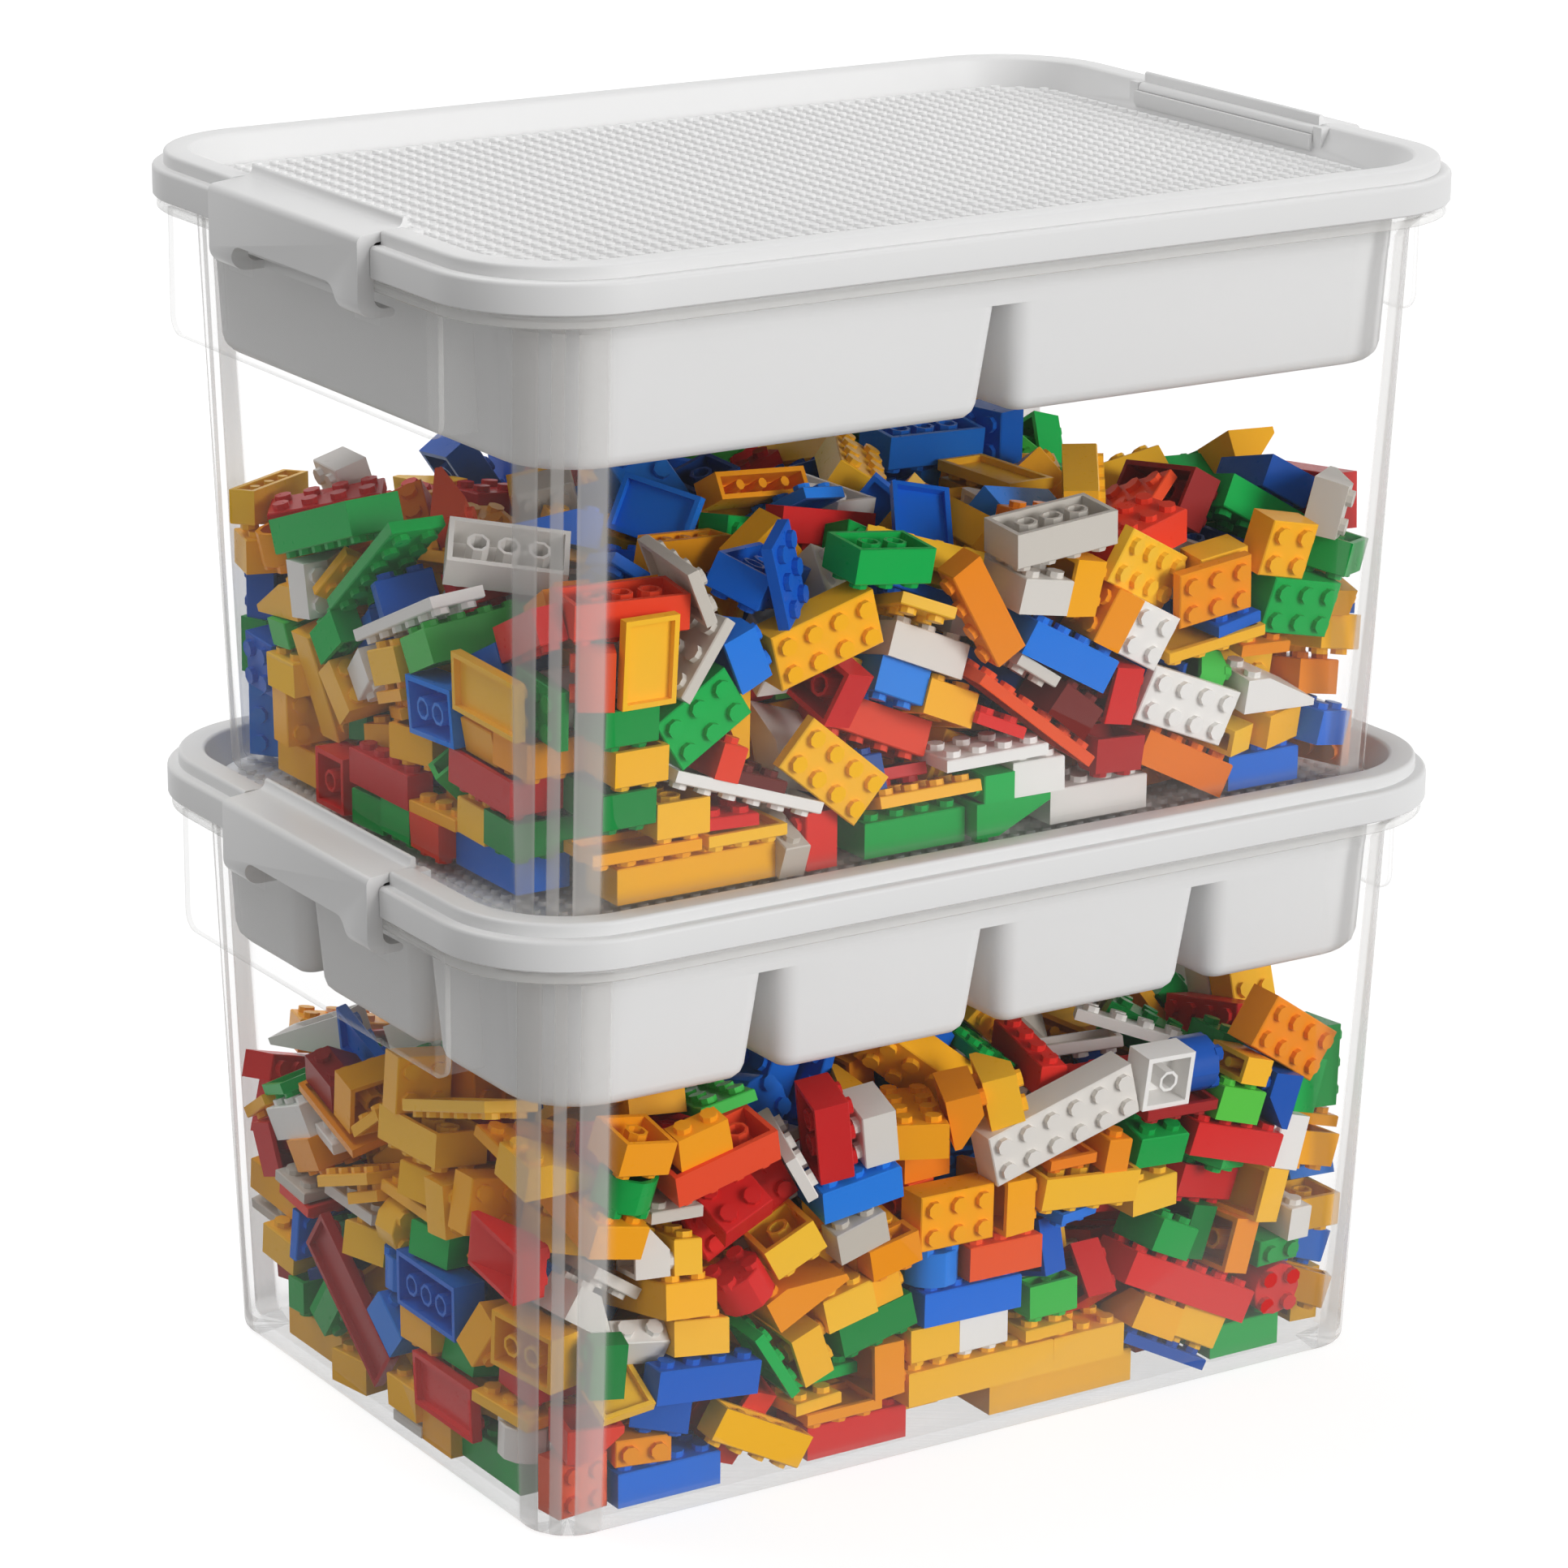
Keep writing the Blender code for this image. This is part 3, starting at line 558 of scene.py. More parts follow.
# The bricks fall in a trial that is 20 times as large, where the solver works best. Rows and courses start
# tight and get looser upwards by the second number of each pair, and the pile's crest follows the photo.
grow = 20
fall_frames = 60
fall_seed = 11
fall_pull = -98
shake_pull, shake_frames = 45, 35
slab_thickness = 60 * mm
wall_slab = (1.2, 2.4, slab_thickness)
floor_slab = (0.6, 0.5, slab_thickness)
first_course = 30 * mm
course_height, course_more = 23 * mm, 7 * mm
row_pitch, row_more = 24 * mm, 6 * mm
side_room_mm = (11, 3)
wall_room = 4 * mm
start_spread_mm = 10
brick_room_mm = (2, 6, 5)
tilts = (0.04, 0.4)
roll_shares = (50, 26, 24)
courses = {"lower": 11, "upper": 10}
crests = {"lower": 1.4, "upper": 0.4}
end_rise = 1.3
ripple, ripple_pace = 0.3, 21
aside = {"lower": Vector((0, 0, 0)), "upper": Vector((1, 0, 0))}


def solid_box(name, size, where, turn):
    """A plain box in the enlarged trial in which the bricks fall."""
    editor = bmesh.new()
    reach = [(-extent * grow / 2, extent * grow / 2) for extent in size]
    add_block(editor, *reach)
    made = as_object(name, editor)
    made.location = where * grow
    made.rotation_mode = "QUATERNION"
    made.rotation_quaternion = turn
    return made


def give_weight(boxes, kind):
    """Lets boxes fall (ACTIVE) or stand firm (PASSIVE)."""
    bpy.ops.object.select_all(action="DESELECT")
    for made in boxes:
        made.select_set(True)
    bpy.context.view_layer.objects.active = boxes[0]
    bpy.ops.rigidbody.objects_add(type=kind)
    for made in boxes:
        body = made.rigid_body
        body.collision_shape = "BOX"
        body.use_margin = True
        body.collision_margin = 0.0
        body.friction = 0.35
        body.restitution = 0.0
        body.linear_damping = 0.3
        body.angular_damping = 0.4


def stand_walls(prefix):
    """Thick slabs just inside the tub's walls, corners and floor."""
    made = []

    def inside(height, angle):
        half_x, half_y, corner = tub_at(height)
        corner += post_thickening
        x = half_x - tub_wall - corner + corner * math.cos(angle)
        y = half_y - tub_wall - corner + corner * math.sin(angle)
        return Vector((x, y, height))

    for sign_x, sign_y in quarters:
        for degrees in (0, 30, 60, 90):
            angle = math.radians(degrees)
            mirror = Vector((sign_x, sign_y, 1))
            foot, head = inside(0, angle) * mirror, inside(tub_height, angle) * mirror
            along = Vector((-sign_x * math.sin(angle), sign_y * math.cos(angle), 0))
            out = along.cross(head - foot).normalized()
            if out.dot(Vector((foot.x, foot.y, 0))) < 0:
                out = -out
            rise = out.cross(along)
            turn = Matrix((along, rise, out)).transposed().to_quaternion()
            where = foot + out * slab_thickness / 2 + aside[prefix]
            made.append(solid_box("slab", wall_slab, where, turn))
    floor = aside[prefix] + Vector((0, 0, tub_floor - slab_thickness / 2))
    made.append(solid_box("slab", floor_slab, floor, Quaternion()))
    for node in frame["nodes"]:
        if node.startswith(prefix + "_brick_") and not node.endswith("heap"):
            low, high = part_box(node)
            middle = (low + high) / 2 - Vector((0, 0, bases[prefix])) + aside[prefix]
            made.append(solid_box("slab", high - low, middle, Quaternion()))
    return made


def start_places(prefix, chance):
    """Courses of bricks, one above another and looser towards the top, as (kind, place, turn)."""
    shares = [kind[-1] for kind in brick_kinds]
    height = first_course
    for course in range(courses[prefix]):
        loose = course / (courses[prefix] - 1)
        half_x, half_y, corner = tub_at(min(height, tub_height))
        reach = [half_x - wall_room, half_y - wall_room]
        if course % 2:
            reach.reverse()
        corner += post_thickening
        side_room = (side_room_mm[0] + side_room_mm[1] * loose) * mm
        rows = int(2 * reach[1] / (row_pitch + row_more * loose))
        for row in range(rows):
            across = (row / (rows - 1) * 2 - 1) * (reach[1] - side_room)
            over = max(abs(across) + side_room - reach[1] + corner, 0)
            end = reach[0] - corner + math.sqrt(max(corner**2 - over**2, 0))
            place = chance.uniform(0, start_spread_mm) * mm - end
            while True:
                kind = chance.choices(range(len(brick_kinds)), shares)[0]
                long = brick_size(kind).x
                if place + long > end:
                    break
                roll = chance.choices((0, math.pi, math.pi / 2), roll_shares)[0]
                tilt = [chance.uniform(-1, 1) * (tilts[0] + tilts[1] * loose) for axis in range(3)]
                turn = Euler((roll + tilt[0], tilt[1], tilt[2])).to_quaternion()
                where = Vector((place + long / 2, across, height))
                if course % 2:
                    where = Vector((-across, place + long / 2, height))
                    turn = Quaternion((0, 0, 1), math.pi / 2) @ turn
                least, most, more = brick_room_mm
                place += long + chance.uniform(least, most + more * loose) * mm
                crest = crests[prefix] + where.y / half_y + (where.x / half_x) ** 2 * end_rise
                crest += ripple * math.sin(where.x * ripple_pace + 1)
                if course < courses[prefix] - 2 or crest > course - courses[prefix] + 2:
                    yield kind, where + aside[prefix], turn
        height += course_height + course_more * loose


def fits(kind, place, turn):
    """Whether a brick lies under the tray and inside the tub."""
    half = brick_size(kind) / 2
    for signs in ((a, b, c) for a in (-1, 1) for b in (-1, 1) for c in (-1, 1)):
        point = place + turn @ (half * Vector(signs))
        half_x, half_y = tub_at(point.z)[:2]
        beyond_x = abs(point.x) - half_x + tub_wall / 2
        beyond_y = abs(point.y) - half_y + tub_wall / 2
        if point.z > tray_bottom - mm or max(beyond_x, beyond_y) > 0:
            return False
    return True


def fallen_bricks():
    """Drops the bricks into both tubs and returns how each came to lie."""
    scene = bpy.context.scene
    usual = scene.gravity.copy()
    bpy.ops.rigidbody.world_add()
    world = scene.rigidbody_world
    world.substeps_per_frame = 10
    world.solver_iterations = 10
    world.point_cache.frame_end = fall_frames
    still, falling = [], []
    for seed, prefix in enumerate(bases, fall_seed):
        still += stand_walls(prefix)
        for kind, where, turn in start_places(prefix, random.Random(seed)):
            made = solid_box("falling", brick_size(kind), where, turn)
            falling.append((prefix, kind, made))
    give_weight(still, "PASSIVE")
    give_weight([row[-1] for row in falling], "ACTIVE")
    for moment in range(1, fall_frames + 1):
        shake = shake_pull * max(1 - moment / shake_frames, 0)
        scene.gravity = (shake * math.sin(moment * 1.7), shake * math.cos(moment * 1.1), fall_pull)
        scene.frame_set(moment)
    lying = {prefix: [] for prefix in bases}
    for prefix, kind, made in falling:
        place = made.matrix_world.translation / grow - aside[prefix]
        turn = made.matrix_world.to_quaternion()
        if fits(kind, place, turn):
            lying[prefix].append((kind, place, turn))
    bpy.ops.rigidbody.world_remove()
    for made in still + [row[-1] for row in falling]:
        mesh = made.data
        bpy.data.objects.remove(made, do_unlink=True)
        bpy.data.meshes.remove(mesh)
    scene.frame_set(1)
    scene.gravity = usual
    return lying


def geometry_tree(name, **inputs):
    """A geometry tree with named inputs and a finish, and the first wire of its input node."""
    tree = bpy.data.node_groups.new(name, "GeometryNodeTree")
    face = tree.interface
    face.new_socket("Geometry", in_out="OUTPUT", socket_type="NodeSocketGeometry")
    for socket, kind in {"Geometry": "Geometry", **inputs, "Finish": "Material"}.items():
        face.new_socket(socket.replace("_", " "), in_out="INPUT", socket_type="NodeSocket" + kind)
    return tree, Wire(tree).node("NodeGroupInput")


def end_tree(given, geometry):
    """Gives the geometry its finish and sends it out."""
    painted = given.node(
        "GeometryNodeSetMaterial", None, {"Geometry": geometry, "Material": given.other("Finish")}
    )
    given.node("NodeGroupOutput", None, {"Geometry": painted})


def pile_tree():
    """Puts a brick of its own kind, turn and tone on each point of a mesh."""
    tree, given = geometry_tree("brick pile", Brick_kinds="Collection")
    settings = {"transform_space": "ORIGINAL"}
    sockets = {"Collection": given.other("Brick kinds"), "Separate Children": True, "Reset Children": True}
    kinds = given.node("GeometryNodeCollectionInfo", settings, sockets)
    kind = given.node("GeometryNodeInputNamedAttribute", {"data_type": "INT"}, {"Name": "kind"})
    turn = given.node("GeometryNodeInputNamedAttribute", {"data_type": "QUATERNION"}, {"Name": "turn"})
    sockets = {"Points": given, "Instance": kinds, "Pick Instance": True}
    sockets.update({"Instance Index": kind, "Rotation": turn})
    placed = given.node("GeometryNodeInstanceOnPoints", None, sockets)
    end_tree(given, given.node("GeometryNodeRealizeInstances", None, {"Geometry": placed}))
    return tree


def grown(name, mesh, tree, inputs):
    """An object whose mesh a geometry tree has made from the given one."""
    made = bpy.data.objects.new(name, mesh)
    bpy.context.scene.collection.objects.link(made)
    modifier = made.modifiers.new(tree.name, "NODES")
    modifier.node_group = tree
    for item in tree.interface.items_tree:
        if item.in_out == "INPUT" and item.name in inputs:
            modifier[item.identifier] = inputs[item.name]
    settle(made, 40)
    return made


def make_piles():
    """One mesh of loose bricks for each colour and box."""
    lying = fallen_bricks()
    tree = pile_tree()
    names, shares = list(brick_shares), list(brick_shares.values())
    colour_seed = 31
    for seed, prefix in enumerate(bases, colour_seed):
        chance = random.Random(seed)
        chosen = {name: [] for name in names}
        for row in lying[prefix]:
            chosen[chance.choices(names, shares)[0]].append(row + (chance.random(),))
        for name, rows in chosen.items():
            mesh = bpy.data.meshes.new(f"{prefix}_{name}_points")
            lift = Vector((0, 0, bases[prefix]))
            kinds, places, turns, tones = zip(*rows)
            mesh.from_pydata([place + lift for place in places], [], [])
            turns = [part for turn in turns for part in turn]
            for layer, form, values in (
                ("kind", "INT", kinds), ("turn", "QUATERNION", turns), ("tone", "FLOAT", tones)
            ):
                mesh.attributes.new(layer, form, "POINT").data.foreach_set("value", values)
            inputs = {"Brick kinds": library, "Finish": brick_finishes[name]}
            pile = grown(f"{prefix}_loose_bricks_{name}", mesh, tree, inputs)
            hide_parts(prefix + "_brick_heap")
            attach(pile, prefix + "_tub")


brick_finishes = {name: glossy_brick("brick_" + name, stops) for name, stops in brick_tones.items()}
make_piles()

floor_rows = {
    "lower_brick_front": ("blue", "red", "yellow", "green"),
    "lower_brick_left": ("green", "yellow"),
    "upper_brick_front": ("yellow", "green", "white", "blue"),
    "upper_brick_left": ("blue", "yellow"),
}
floor_tone = 0.6
for row, colours in floor_rows.items():
    for number, colour in enumerate(colours, 1):
        node = f"{row}_{number}"
        low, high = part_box(node)
        size = high - low
        long, wide = round(max(size.x, size.y) / pitch), round(min(size.x, size.y) / pitch)
        editor = brick_mesh("brick", long, wide, brick_height)
        if size.y > size.x:
            bmesh.ops.rotate(editor, verts=editor.verts, matrix=Matrix.Rotation(math.pi / 2, 3, "Z"))
        bmesh.ops.translate(editor, verts=editor.verts, vec=(low + high) / 2)
        tone = editor.verts.layers.float.new("tone")
        for vertex in editor.verts:
            vertex[tone] = floor_tone
        brick = as_object(f"{row}_brick_{number}", editor, brick_finishes[colour], sharp=40)
        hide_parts(node)
        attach(brick, row.split("_")[0] + "_tub")

for kind in list(library.objects):
    bpy.data.objects.remove(kind, do_unlink=True)
bpy.data.collections.remove(library)

# Trays
# A lift-out sorting tray in matt white polypropylene hangs by its flange on each tub's rim. The upper one
# has two large cups and the lower one twelve, with rounded corners and a narrow gap between neighbours.
tray_wall = 1.8 * mm
tray_flange = 1.8 * mm
tray_flange_inset = (8 * mm, 5.2 * mm)
tray_flange_corner = 41.5 * mm
tray_inset_x, tray_inset_y = 12.5 * mm, 9.5 * mm
tray_shoulder_x, tray_shoulder_y = 7.6 * mm, 4 * mm
tray_taper = 11 * mm
tray_radius, tray_radius_taper = 40 * mm, 12 * mm
divider_z = -14.5 * mm
shoulder_z = -6 * mm
tray_low_z = -56 * mm
cup_gap, cup_gap_taper = 2.4 * mm, 3.6 * mm
cup_step = 0.15 * mm
cup_corner = 7.5 * mm
cup_round, hollow_round = 5.5 * mm, 3.7 * mm
tray_cells = {"lower": (4, 3), "upper": (2, 1)}


def white_plastic(name, colour, roughness):
    """White polypropylene with a fine moulded grain that scatters its highlights."""
    warmth = (234, 233, 232)
    material, shader, start, place = new_finish(name, IOR=1.49, Specular_IOR_Level=0.25)
    cloud = noise(start, place, 7.0)
    grain = noise(start, place, 900.0, 3.0)
    start.feed(shader.inputs["Base Color"], mixed(start, cloud * 0.5, shade(*colour), shade(*warmth)))
    start.feed(shader.inputs["Roughness"], grain * 0.12 + roughness)
    sockets = {"Strength": 0.15, "Distance": 0.08 * mm, "Height": grain}
    start.feed(shader.inputs["Normal"], start.node("ShaderNodeBump", None, sockets))
    return material


def tray_inset(z, shoulder):
    """How far the tray's side lies inside its top edge, with what its shoulder takes in."""
    if z >= shoulder_z:
        return shoulder * max((rim_height - z) / (rim_height - shoulder_z), 0)
    return shoulder + (tray_taper - shoulder) * (shoulder_z - z) / (shoulder_z - tray_low_z)


def tray_half_x(z):
    return lid_half_x - tray_inset_x - tray_inset(z, tray_shoulder_x)


def tray_half_y(z):
    return lid_half_y - tray_inset_y - tray_inset(z, tray_shoulder_y)


def tray_corner(z):
    return tray_radius - tray_radius_taper * min(max((rim_height - z) / (rim_height - tray_low_z), 0), 1)


def tray_ring(z, top, inset=0.0):
    return rounded_ring(tray_half_x(z) - inset, tray_half_y(z) - inset, tray_corner(z) - inset, top + z)


def span(index, count, edge, shoulder, gap):
    """Where one cup of a row starts and ends."""
    width = 2 * shoulder / count
    start = -edge if index == 0 else -shoulder + index * width + gap
    end = edge if index == count - 1 else -shoulder + (index + 1) * width - gap
    return start, end


def cup_rings(top, column, columns, row, rows, heights, inset):
    """The outlines of one cup, with big corners where it is a corner of the whole tray."""
    rings = []
    for z, round_in in heights:
        gap = cup_gap + cup_gap_taper * max((divider_z - z) / (divider_z - tray_low_z), 0)
        drawn_in = inset + round_in
        reach_x, reach_y = tray_half_x(z) - cup_step, tray_half_y(z) - cup_step
        left, right = span(column, columns, reach_x, tray_half_x(shoulder_z), gap)
        front, back = span(row, rows, reach_y, tray_half_y(shoulder_z), gap)
        ends = ((columns - 1, rows - 1), (0, rows - 1), (0, 0), (columns - 1, 0))
        big = tray_corner(z) - cup_step
        radii = [(big if (column, row) == end else cup_corner) - drawn_in for end in ends]
        half_x, half_y = (right - left) / 2 - drawn_in, (back - front) / 2 - drawn_in
        centre = ((left + right) / 2, (front + back) / 2)
        rings.append(rounded_ring(half_x, half_y, 0, top + z, centre, radii, 7))
    return rings


def make_tray(prefix):
    top = bases[prefix] + tub_height
    columns, rows = tray_cells[prefix]
    flange_z = rim_height + seat_gap
    inset_x, inset_y = tray_flange_inset
    flange = (lid_half_x - inset_x, lid_half_y - inset_y, tray_flange_corner)
    web_z = divider_z - tray_wall
    rings = [
        tray_ring(web_z, top),
        tray_ring(shoulder_z, top),
        tray_ring(flange_z, top),
        rounded_ring(*flange, top + flange_z),
        rounded_ring(*flange, top + flange_z + tray_flange),
        tray_ring(flange_z, top + tray_flange, tray_wall),
        tray_ring(shoulder_z, top, tray_wall),
        tray_ring(divider_z, top, tray_wall),
    ]
    tray = lofted(prefix + "_sorting_tray", rings)
    outside = [(tray_low_z + up, inwards) for inwards, up in edge_round(cup_round, 3)]
    outside.append(((web_z + divider_z) / 2, 0))
    hollow = [(tray_low_z + tray_wall + up, inwards) for inwards, up in edge_round(hollow_round, 3)]
    hollow.append((divider_z + 2 * mm, 0))
    cups, hollows = bmesh.new(), bmesh.new()
    for column in range(columns):
        for row in range(rows):
            add_loft(cups, cup_rings(top, column, columns, row, rows, outside, 0))
            add_loft(hollows, cup_rings(top, column, columns, row, rows, hollow, tray_wall))
    carve(tray, "cups", cups, "UNION")
    carve(tray, "hollows", hollows)
    tray.data.materials.append(tray_finish)
    nodes = [node for node in frame["nodes"] if node.startswith(prefix + "_tray")]
    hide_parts(*nodes)
    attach(tray, prefix + "_tray")


tray_finish = white_plastic("tray_white", (238, 238, 238), 0.5)
for prefix in bases:
    make_tray(prefix)

# Lids
# Each lid is a stiff white polypropylene moulding: a skirt over the tub's flange, a narrow step, a raised
# rim and a recess that takes the studded panel and the foot of the next box. A seat with two lugs holds the
# latch's pins at each short end.
ledge_z = 10.9 * mm
lid_top_z = 15.6 * mm
recess_z = 3.6 * mm
panel_top_z = 5.2 * mm
lid_rim_inset = 13.8 * mm
recess_inset = 18.5 * mm
lid_wall = 2.2 * mm
pivot_inset = 14.5 * mm
pivot_z = 13.0 * mm
barrel_radius = 2.6 * mm
pin_radius = 1.6 * mm
hinge_end = hook_outer_y + seat_gap
lug_end = hinge_end + 5 * mm
lug_top_z = 15.3 * mm
hole_depth = 3.7 * mm
seat_floor_z = 9.9 * mm
seat_setback = 1.7 * mm
lid_step = 4 * mm
sill_mm = ((15.5, 6.5), (17.9, 6.5), (18.9, 8.3), (18.9, 12.4), (17.3, 12.4), (17.3, 9.6), (15.5, 9.6))


def lid_edge(inset, z, radius):
    return [(inset + inwards, z - up) for inwards, up in reversed(edge_round(radius))]


def circle(centre, radius):
    return arc(centre, radius, 0, 345, 23)


def reshape(lid, name, operation, *blocks):
    """Joins blocks to the lid or cuts them out of it."""
    solid = bmesh.new()
    for block in blocks:
        add_block(solid, *block)
    carve(lid, name, solid, operation)


def carve_hinge_seat(lid, sign, top):
    """The notch for a latch, with a saddle and a sill under it and a lug with a pin hole at each side."""
    floor = top + seat_floor_z

    def across(first, second):
        return sorted((sign * (lid_half_x - first), sign * (lid_half_x - second)))

    past = -2 * mm
    wide, narrow = (-lug_end, lug_end), (-hinge_end, hinge_end)
    saddle = across(2 * mm, recess_inset - lid_wall), wide, (floor - 2.2 * mm, floor)
    reshape(lid, "saddle", "UNION", saddle)
    liner = across(seat_setback, lid_step), wide, (top, floor - 1.1 * mm)
    reshape(lid, "liner", "UNION", liner)
    notch = across(past, recess_inset + 2 * mm), narrow, (floor, top + 18 * mm)
    reshape(lid, "notch", "DIFFERENCE", notch)
    setback = across(past, seat_setback), narrow, (top - 2 * mm, floor + 2 * mm)
    reshape(lid, "setback", "DIFFERENCE", setback)
    sill = bmesh.new()
    add_bar(sill, [(sign * (lid_half_x - inset * mm), top + z * mm) for inset, z in sill_mm], narrow)
    carve(lid, "sill", sill, "UNION")
    lug_x = across(pivot_inset - barrel_radius, pivot_inset + barrel_radius)
    lug_z = (floor - 2.2 * mm, top + lug_top_z)
    lugs = [(lug_x, (end * hinge_end, end * lug_end), lug_z) for end in (-1, 1)]
    reshape(lid, "lugs", "UNION", *lugs)
    holes = bmesh.new()
    pivot = (sign * (lid_half_x - pivot_inset), top + pivot_z)
    add_bar(holes, circle(pivot, pin_radius + seat_gap), (-hinge_end - hole_depth, hinge_end + hole_depth))
    carve(lid, "pin_holes", holes)


def make_lid(prefix):
    top = bases[prefix] + tub_height
    underside = lid_top_z - 2.5 * mm
    profile = [
        (recess_inset - 0.7 * mm, 1.55 * mm),
        (lid_rim_inset - 1.4 * mm, underside),
        (lid_step + lid_wall, underside),
        (lid_step + lid_wall, ledge_z - lid_wall),
        (lid_wall, ledge_z - lid_wall),
        (lid_wall, 0),
        (0.5 * mm, 0),
        (0, 0.5 * mm),
        *lid_edge(0, ledge_z, 1.6 * mm),
        (lid_step, ledge_z),
        *lid_edge(lid_step, lid_top_z, 1.4 * mm),
        *((lid_rim_inset - inwards, lid_top_z - up) for inwards, up in edge_round(1.6 * mm)),
        (recess_inset, panel_top_z),
        (recess_inset + seat_gap, recess_z),
        (recess_inset + 2 * mm, recess_z),
    ]
    lid = lofted(prefix + "_white_lid", [lid_ring(inset, top + z) for inset, z in profile])
    for sign in (-1, 1):
        carve_hinge_seat(lid, sign, top)
    lid.data.materials.append(lid_finish)
    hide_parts(prefix + "_lid")
    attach(lid, prefix + "_lid")


lid_finish = white_plastic("lid_white", (228, 228, 228), 0.34)
for prefix in bases:
    make_lid(prefix)

# Studded panels
# A thin white plate with rows of small round studs lies in each lid's recess, so that bricks can be built
# on the closed box. The studs and the plate are one moulding.
panel_inset = 19.1 * mm
panel_plate = 1.3 * mm
panel_corner = lid_corner - panel_inset
panel_sizes = {
    "Studs long": 52,
    "Studs wide": 37,
    "Sides": 10,
    "Pitch long": 6.85 * mm,
    "Pitch wide": 6.4 * mm,
    "Radius": 2.2 * mm,
    "Top radius": 2.2 * mm * 0.78,
    "Height": 1.5 * mm,
    "Reach long": lid_half_x - panel_inset,
    "Reach wide": lid_half_y - panel_inset,
    "Corner": panel_corner,
}


def stud_tree():
    """A plate's studs in straight rows, left out where the plate's corners are rounded."""
    kinds = {name: "Int" if isinstance(size, int) else "Float" for name, size in panel_sizes.items()}
    tree, given = geometry_tree("panel studs", Level="Float", **kinds)
    long, wide = given.other("Studs long"), given.other("Studs wide")
    span_x, span_y = (long - 1) * given.other("Pitch long"), (wide - 1) * given.other("Pitch wide")
    sockets = {"Size X": span_x, "Size Y": span_y, "Vertices X": long, "Vertices Y": wide}
    grid = given.node("GeometryNodeMeshGrid", None, sockets)
    place = given.node("GeometryNodeInputPosition")
    apart = given.node("ShaderNodeSeparateXYZ", None, {"Vector": place})
    corner = given.other("Corner")
    over_x = given.math("MAXIMUM", abs(apart) - (given.other("Reach long") - corner), 0.0)
    over_y = given.math("MAXIMUM", abs(apart.other("Y")) - (given.other("Reach wide") - corner), 0.0)
    far = given.math("SQRT", over_x * over_x + over_y * over_y)
    room = corner - given.other("Radius") * 1.3
    sockets = {"Vertices": given.other("Sides"), "Depth": given.other("Height")}
    sockets.update({"Radius Top": given.other("Top radius"), "Radius Bottom": given.other("Radius")})
    stud = given.node("GeometryNodeMeshCone", None, sockets)
    chosen = {"Points": grid, "Instance": stud, "Selection": far < room}
    placed = given.node("GeometryNodeInstanceOnPoints", None, chosen)
    real = given.node("GeometryNodeRealizeInstances", None, {"Geometry": placed})
    lift = given.node("ShaderNodeCombineXYZ", None, {"Z": given.other("Level")})
    raised = given.node("GeometryNodeTransform", None, {"Geometry": real, "Translation": lift})
    both = given.node("GeometryNodeJoinGeometry", None, {"Geometry": given})
    tree.links.new(raised.socket, both.socket.node.inputs["Geometry"])
    end_tree(given, both)
    return tree


def make_panel(prefix, tree):
    bottom = bases[prefix] + tub_height + recess_z + seat_gap
    top = bottom + panel_plate
    soft = 0.3 * mm
    rings = [lid_ring(panel_inset, bottom), lid_ring(panel_inset, top - soft)]
    rings.append(lid_ring(panel_inset + soft, top))
    plate = lofted(prefix + "_plate", rings)
    inputs = {"Level": top - 0.1 * mm, "Finish": panel_finish, **panel_sizes}
    panel = grown(prefix + "_studded_panel", plate.data, tree, inputs)
    bpy.data.objects.remove(plate, do_unlink=True)
    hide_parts(prefix + "_stud_panel")
    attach(panel, prefix + "_lid")


panel_finish = white_plastic("panel_white", (237, 237, 237), 0.32)
panel_tree = stud_tree()
for prefix in bases:
    make_panel(prefix, panel_tree)

# Latches
# A latch in glossier white plastic turns on two pins at each end of the lid. Its top plate slopes outwards
# from a grip bar, its front hangs over the lid's skirt, and a hook at each side of it curls in under the
# tub's flange through the skirt's windows.
latch_out = 4.6 * mm
latch_in = 1.4 * mm
latch_round = 2.6 * mm
hook_bottom_z = -13.2 * mm
hook_tip_z = -10.3 * mm
hook_reach = 9 * mm
front_low_z = -4 * mm
pin_root = 50 * mm
pin_depth = 3.4 * mm


def latch_section():
    """The latch's cross-section as insets from the lid's edge and heights from its lower edge."""
    bar_inner = pivot_inset - seat_gap
    bar_half = 0.95 * mm
    crest = lid_top_z + 3.6 * mm
    bar_outer = bar_inner - 2 * bar_half
    under = lid_top_z - 2.7 * mm
    slope_under = under - 1.2 * mm
    edge_z = lid_top_z - 1.2 * mm - latch_round
    fillet, bend, arm = 2.8 * mm, 3.8 * mm, latch_in + latch_out
    tip = (hook_tip_z - hook_bottom_z) / 2
    points = arc((bar_inner - bar_half, crest - bar_half), bar_half, 180, 0, 8)
    points.append((bar_inner, lid_top_z - seat_gap))
    points += arc((pivot_inset, pivot_z), barrel_radius, 60, -150, 14)
    points.append((pivot_inset - barrel_radius, under - seat_gap))
    points += arc((latch_in + 1.6 * mm, slope_under - 1.6 * mm), 1.6 * mm, 90, 180, 4)
    points += arc((latch_in + bend, hook_tip_z + bend), bend, 180, 270, 6)
    points += arc((hook_reach - tip, hook_bottom_z + tip), tip, 90, -90, 8)
    points += arc((latch_in, hook_bottom_z + arm), arm, 270, 180, 8)
    points += arc((latch_round - latch_out, edge_z), latch_round, 180, 90, 6)
    points += arc((bar_outer - fillet, lid_top_z + fillet), fillet, 270, 360, 6)
    return points


